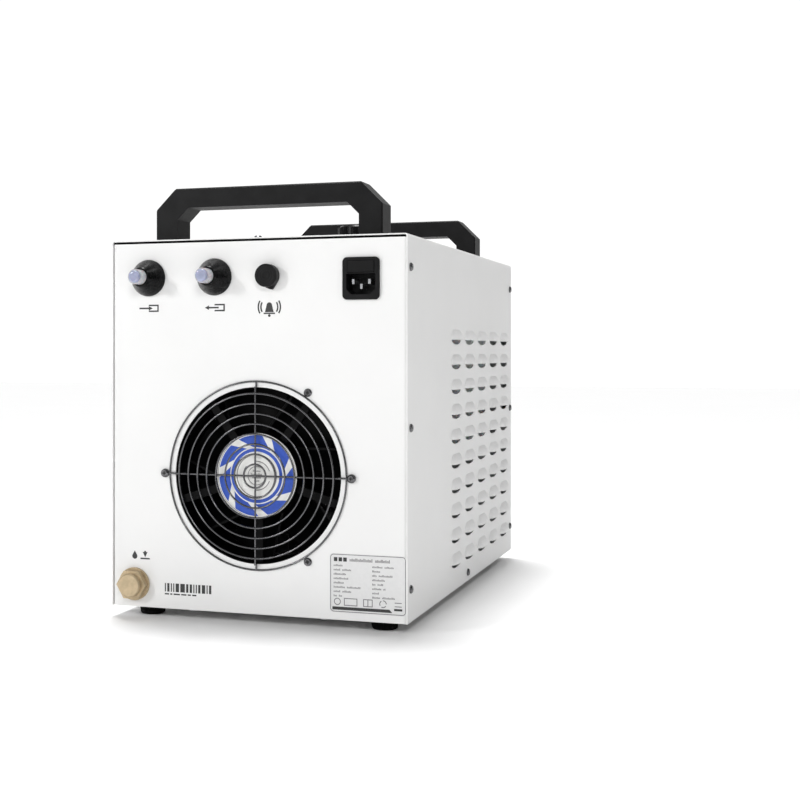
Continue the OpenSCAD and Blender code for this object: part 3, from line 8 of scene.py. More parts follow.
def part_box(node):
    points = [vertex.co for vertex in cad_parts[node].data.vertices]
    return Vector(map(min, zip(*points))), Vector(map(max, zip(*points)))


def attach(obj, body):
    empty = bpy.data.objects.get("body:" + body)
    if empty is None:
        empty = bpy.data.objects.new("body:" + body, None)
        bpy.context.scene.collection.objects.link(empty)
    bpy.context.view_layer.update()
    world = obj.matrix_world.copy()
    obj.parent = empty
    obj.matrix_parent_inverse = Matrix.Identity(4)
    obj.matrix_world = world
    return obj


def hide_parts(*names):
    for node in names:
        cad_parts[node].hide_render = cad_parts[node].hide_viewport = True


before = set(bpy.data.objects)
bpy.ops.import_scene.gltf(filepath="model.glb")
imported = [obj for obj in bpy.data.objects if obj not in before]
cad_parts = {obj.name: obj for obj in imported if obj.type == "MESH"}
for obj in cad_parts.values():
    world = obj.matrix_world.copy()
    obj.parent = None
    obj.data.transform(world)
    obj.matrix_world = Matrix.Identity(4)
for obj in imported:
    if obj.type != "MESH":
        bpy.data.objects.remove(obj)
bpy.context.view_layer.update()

# Millimetres to metres
MM = 0.001
# Vertices closer together than this are one
WELD = 0.001 * MM
# Edges that turn less than this are shaded smooth
SHARP_ANGLE = math.radians(38)
# Thickness of a printed mark, and how far it lies off the surface below it
PRINT_T = 0.06 * MM
PRINT_LIFT = 0.02 * MM


# Places read from the frame

def middle(node):
    low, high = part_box(node)
    return (low + high) / 2


rear_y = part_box("rear_panel")[0].y
rear_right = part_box("rear_panel")[1].x
fan_axis = middle("fan_shaft")
inlet = middle("inlet_nut")
outlet = middle("outlet_nut")
alarm = middle("alarm_pins")
drain = middle("drain_cap")
# The cover's box, whose sides are the crowns of the louvres
case_low, case_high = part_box("cover")


# Mesh and object helpers

def smooth_by_angle(bm):
    for face in bm.faces:
        face.smooth = True
    for edge in bm.edges:
        edge.smooth = edge.calc_face_angle(0) < SHARP_ANGLE


def close_rings(bm, first, second):
    """Makes a closed prism whose ends are two equal rings of vertices."""
    bm.faces.new(first)
    bm.faces.new(list(reversed(second)))
    for i in range(len(first)):
        j = (i + 1) % len(first)
        bm.faces.new((first[i], first[j], second[j], second[i]))


def mesh_of(name, bm):
    mesh = bpy.data.meshes.new(name)
    bm.to_mesh(mesh)
    bm.free()
    return mesh


def add_object(name, data):
    obj = bpy.data.objects.new(name, data)
    bpy.context.scene.collection.objects.link(obj)
    return obj


def add_piece(name, bm, material, body="case", place=(0, 0, 0)):
    """Moves the mesh to its place and makes a piece of it that rides on a body."""
    mesh = mesh_of(name, bm)
    mesh.transform(Matrix.Translation(place))
    mesh.materials.append(material)
    obj = add_object(name, mesh)
    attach(obj, body)
    return obj


# Material helpers

# Stretch of a noise's values that a ramp of colours or of roughness covers
COLOR_STRETCH = (0.35, 0.65)
ROUGH_STRETCH = (0.3, 0.7)
COAT_ROUGH = 0.08


def shader_of(material):
    return next(n for n in material.node_tree.nodes if n.type == "BSDF_PRINCIPLED")


def noise(tree, coords, size, detail, stretch=(1, 1, 1)):
    """Noise whose blotches are about size metres across."""
    mapping = tree.nodes.new("ShaderNodeMapping")
    mapping.inputs["Scale"].default_value = stretch
    tree.links.new(coords, mapping.inputs["Vector"])
    node = tree.nodes.new("ShaderNodeTexNoise")
    node.inputs["Scale"].default_value = 1 / size
    node.inputs["Detail"].default_value = detail
    tree.links.new(mapping.outputs["Vector"], node.inputs["Vector"])
    return node.outputs["Fac"]


def ramp(tree, factor, *colors):
    node = tree.nodes.new("ShaderNodeValToRGB")
    for stop, position, color in zip(node.color_ramp.elements, COLOR_STRETCH, colors):
        stop.position = position
        stop.color = (*color, 1)
    tree.links.new(factor, node.inputs["Fac"])
    return node.outputs["Color"]


def map_range(tree, factor, from_low, from_high, to_low, to_high):
    node = tree.nodes.new("ShaderNodeMapRange")
    node.inputs["From Min"].default_value = from_low
    node.inputs["From Max"].default_value = from_high
    node.inputs["To Min"].default_value = to_low
    node.inputs["To Max"].default_value = to_high
    tree.links.new(factor, node.inputs["Value"])
    return node


def bump(tree, shader, height, depth):
    node = tree.nodes.new("ShaderNodeBump")
    node.inputs["Distance"].default_value = depth
    node.inputs["Strength"].default_value = 1.0
    tree.links.new(height, node.inputs["Height"])
    tree.links.new(node.outputs["Normal"], shader.inputs["Normal"])


def scaled(color, factor):
    return tuple(min(1.0, c * factor) for c in color)


def finish_of(name, color, rough, tint, patch, grain, depth, metal=0.0, coat=0.0,
              stretch=(1, 1, 1), rough_spread=0.06, gleam=0.5):
    """A surface with blotches of tint, uneven roughness and a fine grain."""
    material = bpy.data.materials.new(name)
    material.use_nodes = True
    tree = material.node_tree
    shader = shader_of(material)
    coords = tree.nodes.new("ShaderNodeTexCoord").outputs["Object"]
    blotches = noise(tree, coords, patch, detail=3.0)
    colors = ramp(tree, blotches, scaled(color, 1 - tint), scaled(color, 1 + tint))
    tree.links.new(colors, shader.inputs["Base Color"])
    fine = noise(tree, coords, grain, detail=2.0, stretch=stretch)
    uneven = map_range(tree, fine, *ROUGH_STRETCH, rough - rough_spread, rough + rough_spread)
    tree.links.new(uneven.outputs["Result"], shader.inputs["Roughness"])
    bump(tree, shader, fine, depth)
    shader.inputs["Metallic"].default_value = metal
    shader.inputs["Specular IOR Level"].default_value = gleam
    shader.inputs["Coat Weight"].default_value = coat
    shader.inputs["Coat Roughness"].default_value = COAT_ROUGH
    return material


def scatter_below(material, weight, reach):
    """Lets light into a plastic, to scatter below its surface."""
    shader = shader_of(material)
    shader.inputs["Subsurface Weight"].default_value = weight
    shader.inputs["Subsurface Scale"].default_value = reach
    return material


def let_through(material, weight):
    shader_of(material).inputs["Transmission Weight"].default_value = weight
    return material


# Materials of the sheet metal, plastics and rubber

def powder_coat():
    return finish_of("powder_coat", (0.83, 0.83, 0.825), rough=0.46, tint=0.012,
                     patch=90 * MM, grain=1.1 * MM, depth=0.012 * MM)


def satin_black():
    return finish_of("satin_black", (0.006, 0.006, 0.0064), rough=0.5, tint=0.25,
                     patch=14 * MM, grain=0.5 * MM, depth=0.03 * MM, gleam=0.16)


def gloss_black():
    return finish_of("gloss_black", (0.0015, 0.0015, 0.0018), rough=0.28, tint=0.2,
                     patch=8 * MM, grain=2.5 * MM, depth=0.02 * MM, gleam=0.16)


def fan_black():
    return finish_of("fan_black", (0.002, 0.002, 0.0022), rough=0.4, tint=0.25,
                     patch=18 * MM, grain=0.9 * MM, depth=0.015 * MM, gleam=0.1)


def black_rubber_and_gap_shade():
    return finish_of("black_rubber_and_gap_shade", (0.003, 0.003, 0.003), rough=0.75, tint=0.3,
                     patch=6 * MM, grain=0.4 * MM, depth=0.04 * MM, gleam=0.08)


def milky_plastic():
    material = finish_of("milky_plastic", (0.78, 0.8, 0.8), rough=0.42, tint=0.03,
                         patch=40 * MM, grain=1.5 * MM, depth=0.02 * MM)
    return scatter_below(material, 0.25, 3 * MM)


def barb_plastic():
    material = finish_of("barb_plastic", (0.5, 0.5, 0.53), rough=0.24, tint=0.03,
                         patch=5 * MM, grain=0.8 * MM, depth=0.01 * MM, coat=0.3)
    return scatter_below(material, 0.15, 2 * MM)


def blue_plug():
    material = finish_of("blue_plug", (0.33, 0.36, 0.5), rough=0.18, tint=0.1,
                         patch=4 * MM, grain=1.5 * MM, depth=0.02 * MM, coat=0.4)
    return scatter_below(material, 0.2, 2 * MM)


def clear_hose():
    material = finish_of("clear_hose", (0.7, 0.75, 0.78), rough=0.3, tint=0.05,
                         patch=12 * MM, grain=2 * MM, depth=0.03 * MM)
    return let_through(material, 0.35)


def clear_glass():
    material = finish_of("clear_glass", (0.8, 0.84, 0.84), rough=0.08, tint=0.02,
                         patch=5 * MM, grain=2 * MM, depth=0.005 * MM, rough_spread=0.03)
    return let_through(material, 0.8)


def board_green():
    return finish_of("board_green", (0.02, 0.16, 0.06), rough=0.35, tint=0.3,
                     patch=3 * MM, grain=1 * MM, depth=0.05 * MM)


# Materials of the metals

def plated_wire():
    return finish_of("plated_wire", (0.13, 0.13, 0.135), rough=0.24, tint=0.12,
                     patch=6 * MM, grain=0.8 * MM, depth=0.01 * MM, metal=1.0)


def bright_zinc():
    return finish_of("bright_zinc", (0.56, 0.57, 0.59), rough=0.3, tint=0.12,
                     patch=3 * MM, grain=0.5 * MM, depth=0.01 * MM, metal=1.0)


def dark_screw():
    return finish_of("dark_screw", (0.15, 0.15, 0.155), rough=0.26, tint=0.3,
                     patch=2 * MM, grain=0.5 * MM, depth=0.015 * MM, metal=1.0)


def pale_brass():
    return finish_of("pale_brass", (0.53, 0.42, 0.27), rough=0.5, tint=0.1,
                     patch=5 * MM, grain=0.7 * MM, depth=0.02 * MM, metal=0.55)


def black_core():
    return finish_of("black_core", (0.02, 0.02, 0.021), rough=0.5, tint=0.3,
                     patch=10 * MM, grain=1 * MM, depth=0.1 * MM, stretch=(1, 1, 0.1))


def copper_winding():
    return finish_of("copper_winding", (0.5, 0.2, 0.08), rough=0.35, tint=0.25,
                     patch=4 * MM, grain=0.8 * MM, depth=0.1 * MM, metal=0.9,
                     stretch=(0.1, 1, 1))


# Materials of the prints, whose black ink also paints the shade in the screws' cross recesses

def ink(name, color, tint=0.1):
    return finish_of(name, color, rough=0.5, tint=tint, patch=3 * MM, grain=0.3 * MM,
                     depth=0.005 * MM)


powder = powder_coat()
satin = satin_black()
gloss = gloss_black()
fan_plastic = fan_black()
# Black rubber of the feet and gaskets, also the black strip that paints the shade in the gap
# under the top sheet
rubber_and_gap_shade = black_rubber_and_gap_shade()
milky = milky_plastic()
barb = barb_plastic()
plug = blue_plug()
hose = clear_hose()
board = board_green()
wire = plated_wire()
zinc = bright_zinc()
screw = dark_screw()
brass = pale_brass()
core = black_core()
winding = copper_winding()
glass = clear_glass()
# Black ink of the prints, also the painted shade in the screws' cross recesses
black_ink_and_shade = ink("black_ink_and_shade", (0.03, 0.03, 0.03))
ink_grey = ink("ink_grey", (0.2, 0.195, 0.2))
ink_blue = ink("ink_blue", (0.028, 0.09, 0.5), tint=0.06)
ink_white = ink("ink_white", (0.85, 0.85, 0.83), tint=0.02)
label_film = ink("label_film", (0.74, 0.74, 0.74), tint=0.015)

CAD_MATERIALS = {
    "base_tray": powder, "rear_panel": powder, "front_panel": powder, "cover": powder,
    "rear_handle": satin, "front_handle": satin, "handle_screws": zinc,
    "foot_rear_left": rubber_and_gap_shade, "foot_rear_right": rubber_and_gap_shade,
    "foot_front_left": rubber_and_gap_shade, "foot_front_right": rubber_and_gap_shade,
    "bottom_screws": zinc, "cover_screws": screw, "fan_guard": wire, "guard_screws": screw,
    "fan_frame": fan_plastic, "fan_stator": winding, "fan_bearings": zinc, "fan_shaft": zinc,
    "fan_rotor": fan_plastic, "radiator_core": core, "radiator_headers": core,
    "radiator_duct": zinc, "water_tank": milky, "tank_stand": zinc, "filler_collar": rubber_and_gap_shade,
    "filler_cap": gloss, "filler_gasket": rubber_and_gap_shade, "pump_motor": satin, "pump_volute": satin,
    "pump_rotor": milky, "pump_shaft": milky, "pump_bracket": zinc, "flow_switch": satin,
    "hose_return": hose, "hose_to_tank": hose, "hose_suction": hose, "hose_delivery": hose,
    "hose_outlet": hose, "hose_drain": hose, "hose_clamps": zinc, "inlet_fitting": barb,
    "inlet_nut": gloss, "inlet_plug": plug, "outlet_fitting": barb, "outlet_nut": gloss,
    "outlet_plug": plug, "drain_fitting": brass, "drain_cap": brass, "alarm_socket": satin,
    "alarm_pins": brass, "alarm_cap": rubber_and_gap_shade, "mains_inlet": satin, "mains_pins": zinc,
    "fuse_drawer": satin, "fuse": glass, "display_bezel": gloss, "control_board": board,
    "power_switch": satin, "power_rocker": gloss,
}
for node, material in CAD_MATERIALS.items():
    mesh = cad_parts[node].data
    mesh.materials.clear()
    mesh.materials.append(material)


# Soft edges on the moulded pieces, whose meshes stay as they are

# Edges that turn more than this are rounded
BEVEL_ANGLE = math.radians(35)


def soften(node, width, segments):
    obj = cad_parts[node]
    weld = obj.modifiers.new("weld", "WELD")
    weld.merge_threshold = WELD
    bevel = obj.modifiers.new("bevel", "BEVEL")
    bevel.width = width
    bevel.segments = segments
    bevel.limit_method = "ANGLE"
    bevel.angle_limit = BEVEL_ANGLE
    bevel.harden_normals = False
    normals = obj.modifiers.new("normals", "WEIGHTED_NORMAL")
    normals.keep_sharp = False


for node in ("rear_handle", "front_handle"):
    soften(node, width=1.0 * MM, segments=3)
for node in ("mains_inlet", "fuse_drawer", "drain_cap"):
    soften(node, width=0.3 * MM, segments=2)


# Turned pieces, whose axis points out of the rear panel

def no_swell(angle, radius, out):
    return 0


def lathe(name, place, outline, material, body, steps=96, swell=no_swell):
    """Turns a closed outline about the axis; its points are (radius, reach out) in mm."""
    bm = bmesh.new()
    rows = []
    for i in range(steps):
        angle = 2 * math.pi * i / steps
        row = []
        for radius, out in outline:
            r = (radius + swell(angle, radius, out)) * MM
            row.append(bm.verts.new((r * math.cos(angle), -out * MM, r * math.sin(angle))))
        rows.append(row)
    for i in range(steps):
        a, b = rows[i], rows[(i + 1) % steps]
        for j in range(len(outline)):
            k = (j + 1) % len(outline)
            bm.faces.new((a[j], a[k], b[k], b[j]))
    bmesh.ops.recalc_face_normals(bm, faces=bm.faces)
    smooth_by_angle(bm)
    return add_piece(name, bm, material, body, Vector((place.x, rear_y, place.z)))


# Nut round each barb: a low cone with a slightly crowned flank
NUT_OUTLINE = (
    (9.2, 0), (15.5, 0), (15.85, 0.15), (16, 0.5), (16, 1.5), (15.8, 2.1), (14.9, 4.4),
    (13.8, 6.8), (12.6, 9.2), (11.3, 11.7), (10.1, 14), (9.1, 16), (8.6, 17), (8.1, 17.9),
    (7.7, 18.3), (7.3, 18.4), (6.6, 18.4), (6.6, 7.2), (9.2, 7.2),
)
for node, place in (("inlet_nut", inlet), ("outlet_nut", outlet)):
    cone = lathe(node + "_cone", place, NUT_OUTLINE, gloss, "case")
    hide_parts(node)

# Alarm cap: rings stand on its end, and a rounded tab on its rim; lengths in mm
CAP_RIM = ((8.25, 1.45), (9.7, 1.45), (9.9, 1.7), (9.9, 4.8), (9.9, 6.4), (9.9, 8.9),
           (9.75, 9.4), (9.3, 9.7), (8, 9.75))
CAP_FACE = 9.72
CAP_HOLLOW = ((0.02, CAP_FACE), (0.02, 7.45), (8.25, 7.45))
RING_RADII = (7.7, 5.5, 3.3)
RING_TOP = 9.9
RING_WIDE = 0.5
RING_FLANK = 0.3
RING_STEP = 2.2
TAB_TURN = math.radians(-72)
TAB_HALF = math.radians(34)
TAB_REACH = 2.6
TAB_FROM_R = 9
TAB_OUT = 6.4
TAB_SLOPE = 1.6
CAP_STEPS = 144


def cap_outline():
    """Rim, rings and hollow. No ring follows the last, so its next foot is left out."""
    rings = []
    for radius in RING_RADII:
        rings += [(radius, RING_TOP), (radius - RING_WIDE, RING_TOP),
                  (radius - RING_WIDE - RING_FLANK, CAP_FACE),
                  (radius - RING_STEP + RING_FLANK, CAP_FACE)]
    return (*CAP_RIM, *rings[:-1], *CAP_HOLLOW)


def cap_tab(angle, radius, out):
    """How far the rim swells out at the tab, which slopes off towards the cap's end."""
    off = abs((angle - TAB_TURN + math.pi) % (2 * math.pi) - math.pi)
    if radius < TAB_FROM_R or off > TAB_HALF:
        return 0
    slope = max(0.0, min(1.0, (TAB_OUT - out) / TAB_SLOPE))
    return TAB_REACH * (1 - off / TAB_HALF) ** 1.5 * slope


cap = lathe("alarm_cap_ringed", alarm, cap_outline(), satin, "alarm_lid",
            CAP_STEPS, cap_tab)
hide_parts("alarm_cap")


# Painted shade of the screws' cross recesses: dark crosses laid on the flat of each head

CROSS_LONG = 3.6 * MM
CROSS_WIDE = 1.1 * MM
CROSS_T = 0.1 * MM
CROSS_OUT = 0.04 * MM
# Heads whose middle is this close to the louvres' crowns are on the cover's sides
SIDE_ZONE = 8 * MM


def islands(node):
    """Boxes of the separate solids in a node's mesh."""
    bm = bmesh.new()
    bm.from_mesh(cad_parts[node].data)
    bmesh.ops.remove_doubles(bm, verts=bm.verts, dist=WELD)
    left = set(bm.verts)
    boxes = []
    while left:
        stack = [left.pop()]
        seen = list(stack)
        while stack:
            for edge in stack.pop().link_edges:
                for vert in edge.verts:
                    if vert in left:
                        left.remove(vert)
                        stack.append(vert)
                        seen.append(vert)
        points = [v.co for v in seen]
        boxes.append((Vector([min(p[i] for p in points) for i in range(3)]),
                      Vector([max(p[i] for p in points) for i in range(3)])))
    bm.free()
    return sorted(boxes, key=lambda box: tuple(round(v, 5) for v in box[0]))


def facing(node, mid):
    """The axis and direction that a screw's head faces."""
    if node == "guard_screws":
        return 1, -1
    if abs(mid.x) > case_high.x - SIDE_ZONE:
        return 0, math.copysign(1, mid.x)
    return 2, 1


def crosses(name, node):
    bm = bmesh.new()
    for low, high in islands(node):
        mid = (low + high) / 2
        axis, sign = facing(node, mid)
        centre = mid.copy()
        centre[axis] = (high if sign > 0 else low)[axis] + sign * (CROSS_OUT - CROSS_T / 2)
        for long_way in (i for i in range(3) if i != axis):
            size = Vector([CROSS_WIDE] * 3)
            size[axis] = CROSS_T
            size[long_way] = CROSS_LONG
            bmesh.ops.create_cube(bm, size=1, matrix=Matrix.LocRotScale(centre, None, size))
    # Dark crosses that paint the shade inside each head's recess
    add_piece(name, bm, black_ink_and_shade)


crosses("guard_screw_recess_shade", "guard_screws")
crosses("cover_screw_recess_shade", "cover_screws")


# Black strip in the gap between the rear panel's top fold and the top sheet: painted shade that
# darkens the gap

GAP_SHADE_UNDER_TOP = (2.95 * MM, 1.05 * MM)
GAP_SHADE_BEHIND_REAR = (0.35 * MM, 3.6 * MM)
GAP_SHADE_EDGE = 0.35 * MM
GAP_SHADE_CUT = 0.3 * GAP_SHADE_EDGE
GAP_SHADE_END_GAP = 0.8 * MM


def gap_shade_strip():
    low, high = (case_high.z - drop for drop in GAP_SHADE_UNDER_TOP)
    near, far = (rear_y + behind for behind in GAP_SHADE_BEHIND_REAR)
    half = rear_right - GAP_SHADE_END_GAP
    outline = [(far, low), (far, high), (near + GAP_SHADE_EDGE, high),
               (near + GAP_SHADE_CUT, high - GAP_SHADE_CUT), (near, high - GAP_SHADE_EDGE),
               (near, low + GAP_SHADE_EDGE), (near + GAP_SHADE_CUT, low + GAP_SHADE_CUT),
               (near + GAP_SHADE_EDGE, low)]
    bm = bmesh.new()
    close_rings(bm, *([bm.verts.new((x, y, z)) for y, z in outline] for x in (-half, half)))
    bmesh.ops.recalc_face_normals(bm, faces=bm.faces)
    # The black strip stands in for the shade inside the gap
    add_piece("top_gap_shade", bm, rubber_and_gap_shade, "case")


gap_shade_strip()


# Cover with an opening cut in the side sheet below each louvre's lip

LOUVRE_ROWS = 10
LOUVRE_COLS = 5
LOUVRE_STEP_Y = 59 * MM
LOUVRE_STEP_Z = 23.4 * MM
LOUVRE_FROM_FRONT = 43.6 * MM
LOUVRE_TOP_DROP = 86.45 * MM
OPENING_HALF = 19.5 * MM
OPENING_DEEP = 4.4 * MM
OPENING_STEPS = 14
# How far the middle of the side sheet lies outside the tray, and a cutter's reach from it
SHEET_OFF_TRAY = 0.7 * MM
CUT_REACH = 1.6 * MM


def half_moon(y, z):
    """Lower half of an ellipse below y, z."""
    points = []
    for i in range(OPENING_STEPS + 1):
        u = 1 - 2 * i / OPENING_STEPS
        points.append((y + u * OPENING_HALF, z - OPENING_DEEP * math.sqrt(1 - u * u)))
    return points


def opening_cutter():
    bm = bmesh.new()
    sheet_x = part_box("base_tray")[1].x + SHEET_OFF_TRAY
    for side in (-1, 1):
        ends = [side * (sheet_x + reach) for reach in (-CUT_REACH, CUT_REACH)]
        for col in range(LOUVRE_COLS):
            y = case_high.y - LOUVRE_FROM_FRONT - col * LOUVRE_STEP_Y
            for row in range(LOUVRE_ROWS):
                z = case_high.z - LOUVRE_TOP_DROP - row * LOUVRE_STEP_Z
                outline = half_moon(y, z)
                close_rings(bm, *([bm.verts.new((x, *point)) for point in outline]
                                  for x in ends))
    bmesh.ops.recalc_face_normals(bm, faces=bm.faces)
    return add_object("cutter", mesh_of("cutter", bm))


def open_cover():
    whole = bmesh.new()
    whole.from_mesh(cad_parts["cover"].data)
    bmesh.ops.remove_doubles(whole, verts=whole.verts, dist=WELD)
    blank = add_object("cover_whole", mesh_of("cover_whole", whole))
    cutter = opening_cutter()
    cut = blank.modifiers.new("cut", "BOOLEAN")
    cut.operation = "DIFFERENCE"
    cut.solver = "EXACT"
    cut.object = cutter
    graph = bpy.context.evaluated_depsgraph_get()
    opened = bmesh.new()
    opened.from_object(blank, graph)
    smooth_by_angle(opened)
    for obj in (blank, cutter):
        bpy.data.objects.remove(obj)
    cover = add_piece("cover_vented", opened, powder, "case")
    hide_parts("cover")


open_cover()


# Flat pieces printed on or stuck to a surface

# Direction from the middle of a rounded rectangle to each corner, and where its arc starts
CORNERS = ((1, 1, 0), (-1, 1, 90), (-1, -1, 180), (1, -1, 270))
# Width of an arrow's shaft, as a share of its head's
SHAFT_SHARE = 0.36


class Sheet:
    """Collects flat shapes and makes one closed, thin mesh of them.

    Points are (across, up) in metres from the sheet's centre, and its face is -Y."""

    def __init__(self, name, centre, material):
        self.name = name
        self.centre = centre
        self.material = material
        self.bm = bmesh.new()

    def outline(self, points):
        close_rings(self.bm, *([self.bm.verts.new((x, y, z)) for x, z in points]
                               for y in (-PRINT_T, 0)))

    def rect(self, x, z, width, height):
        w, h = width / 2, height / 2
        self.outline([(x - w, z - h), (x + w, z - h), (x + w, z + h), (x - w, z + h)])

    def round_rect(self, width, height, radius, steps=6):
        points = []
        for side_x, side_z, start in CORNERS:
            for i in range(steps + 1):
                angle = math.radians(start + 90 * i / steps)
                points.append((side_x * (width / 2 - radius) + radius * math.cos(angle),
                               side_z * (height / 2 - radius) + radius * math.sin(angle)))
        self.outline(points)

    def disc(self, x, z, radius, steps):
        self.outline([(x + radius * math.cos(2 * math.pi * i / steps),
                       z + radius * math.sin(2 * math.pi * i / steps)) for i in range(steps)])

    def band(self, x, z, inner, outer, start=0, sweep=360, steps=72, slant=0):
        """Part of a ring, from start over sweep degrees, its outer rim turned on by slant.

        A full ring has the given steps, and a part of one its share of them."""
        steps = max(2, round(steps * sweep / 360))
        closed = sweep >= 360
        rows = []
        for i in range(steps if closed else steps + 1):
            turn = start + sweep * i / steps
            row = []
            for radius, extra in ((inner, 0), (outer, slant)):
                angle = math.radians(turn + extra)
                px, pz = x + radius * math.cos(angle), z + radius * math.sin(angle)
                row += [self.bm.verts.new((px, 0, pz)), self.bm.verts.new((px, -PRINT_T, pz))]
            rows.append(row)
        count = len(rows)
        for i in range(count if closed else count - 1):
            a, b = rows[i], rows[(i + 1) % count]
            self.bm.faces.new((a[1], b[1], b[3], a[3]))
            self.bm.faces.new((a[0], a[2], b[2], b[0]))
            self.bm.faces.new((a[2], a[3], b[3], b[2]))
            self.bm.faces.new((a[0], b[0], b[1], a[1]))
        if not closed:
            first, last = rows[0], rows[-1]
            self.bm.faces.new((first[0], first[1], first[3], first[2]))
            self.bm.faces.new((last[0], last[2], last[3], last[1]))

    def arrow(self, x, z, length, width, turn):
        """A solid arrow centred at x, z and turned from pointing along +x."""
        head, shaft = width, width * SHAFT_SHARE
        shape = [(-length / 2, -shaft / 2), (length / 2 - head, -shaft / 2),
                 (length / 2 - head, -width / 2), (length / 2, 0), (length / 2 - head, width / 2),
                 (length / 2 - head, shaft / 2), (-length / 2, shaft / 2)]
        c, s = math.cos(math.radians(turn)), math.sin(math.radians(turn))
        self.outline([(x + px * c - pz * s, z + px * s + pz * c) for px, pz in shape])

    def make(self):
        bmesh.ops.recalc_face_normals(self.bm, faces=self.bm.faces)
        add_piece(self.name, self.bm, self.material, place=self.centre)


def on_rear(x, z, layer=0):
    """A place on the rear panel, or on the print that lies there where layer is 1."""
    lift = PRINT_LIFT + layer * (PRINT_T + PRINT_LIFT)
    return Vector((x, rear_y - lift, z))


# Pictograms beside the sockets and the drain

MARK_DROP = 26.5 * MM
MARK_LINE = 1.3 * MM
# Flow marks: whole size, and the arrow's length, width and place from the middle
FLOW_W = 19 * MM
FLOW_H = 6.4 * MM
FLOW_ARROW_L = 0.68 * FLOW_W
FLOW_ARROW_W = 0.6 * FLOW_H
FLOW_ARROW_X = -0.14 * FLOW_W
# Bell: half width at the mouth, top, lower edge, and radius of the dome
BELL_HALF = 4 * MM
BELL_TOP = 5 * MM
BELL_LOW = -3.4 * MM
BELL_SHIFT = 1 * MM
DOME_R = 0.62 * BELL_HALF
DOME_STEPS = 10
MOUTH_W = 2.6 * BELL_HALF
MOUTH_T = 1.2 * MM
MOUTH_DROP = 1 * MM
CLAPPER_R = 1.2 * MM
CLAPPER_STEPS = 20
CLAPPER_DROP = 2.9 * MM
WAVE_RADII = (7 * MM, 9.4 * MM)
WAVE_UP = 1 * MM
WAVE_SWEEP = 64
# Drain mark: the drop's round part starts and sweeps in degrees; the arrow ends on a line
DRAIN_MARK_OVER = 5.5 * MM
DRAIN_MARK_UP = 25.5 * MM
DROP_TALL = 7.4 * MM
DROP_R = 0.33 * DROP_TALL
DROP_START = 150
DROP_SWEEP = 240
DROP_STEPS = 16
DOWN_X = 4.5 * MM
DOWN_GAP = 1.8 * MM
DOWN_W = 0.62 * DROP_TALL


def flow_mark(name, place, turn):
    """An arrow into or out of an open box."""
    sheet = Sheet(name, on_rear(place.x, place.z - MARK_DROP), black_ink_and_shade)
    for z in (-1, 1):
        sheet.rect(FLOW_W / 4, z * (FLOW_H - MARK_LINE) / 2, FLOW_W / 2, MARK_LINE)
    sheet.rect((FLOW_W - MARK_LINE) / 2, 0, MARK_LINE, FLOW_H - 2 * MARK_LINE)
    sheet.arrow(FLOW_ARROW_X, 0, FLOW_ARROW_L, FLOW_ARROW_W, turn)
    sheet.make()


def bell_mark():
    """A bell between two pairs of sound waves."""
    sheet = Sheet("mark_alarm", on_rear(alarm.x, alarm.z - MARK_DROP - BELL_SHIFT), black_ink_and_shade)
    dome = []
    for i in range(DOME_STEPS + 1):
        angle = math.pi * i / DOME_STEPS
        dome.append((DOME_R * math.cos(angle), BELL_TOP - DOME_R + DOME_R * math.sin(angle)))
    sheet.outline([(BELL_HALF, BELL_LOW), *dome, (-BELL_HALF, BELL_LOW)])
    sheet.rect(0, BELL_LOW - MOUTH_DROP, MOUTH_W, MOUTH_T)
    sheet.disc(0, BELL_LOW - CLAPPER_DROP, CLAPPER_R, CLAPPER_STEPS)
    for inner in WAVE_RADII:
        for middle_turn in (0, 180):
            start = middle_turn - WAVE_SWEEP / 2
            sheet.band(0, WAVE_UP, inner, inner + MARK_LINE, start, WAVE_SWEEP)
    sheet.make()


def drop_mark():
    """A drop beside an arrow down to a line."""
    sheet = Sheet("mark_drain", on_rear(drain.x + DRAIN_MARK_OVER, drain.z + DRAIN_MARK_UP),
                  black_ink_and_shade)
    x, z = -DRAIN_MARK_OVER, -DROP_TALL / 2 + DROP_R
    points = []
    for i in range(DROP_STEPS + 1):
        angle = math.radians(DROP_START + DROP_SWEEP * i / DROP_STEPS)
        points.append((x + DROP_R * math.cos(angle), z + DROP_R * math.sin(angle)))
    sheet.outline([*points, (x, DROP_TALL / 2)])
    sheet.arrow(DOWN_X, DOWN_GAP / 2, DROP_TALL - DOWN_GAP, DOWN_W, -90)
    sheet.rect(DOWN_X, -DROP_TALL / 2 + MARK_LINE / 2, 2 * DOWN_X, MARK_LINE)
    sheet.make()


flow_mark("mark_inlet", inlet, 0)
flow_mark("mark_outlet", outlet, 180)
bell_mark()
drop_mark()


# Ticks in place of words

TICK_HEIGHTS = (1, 0.7, 0.72, 0.95, 0.7, 0.86, 0.7)
TICK_STEP = 1.0 * MM
TICK_W = 0.62 * MM


def tick_row(sheet, x, z, length, height):
    """Short upright ticks of uneven height in place of a word."""
    for i in range(max(1, round(length / TICK_STEP))):
        tall = height * TICK_HEIGHTS[(i * 3 + round(length / MM)) % len(TICK_HEIGHTS)]
        sheet.rect(x + (i + 0.5) * TICK_STEP, z - (height - tall) / 2, TICK_W, tall)


# Plain rating label

LABEL_W = 66.5 * MM
LABEL_H = 49.5 * MM
LABEL_CORNER = 3 * MM
LABEL_EDGE = 0.6 * MM
LABEL_FROM_RIGHT = 5 * MM
LABEL_FROM_FLOOR = 6.2 * MM
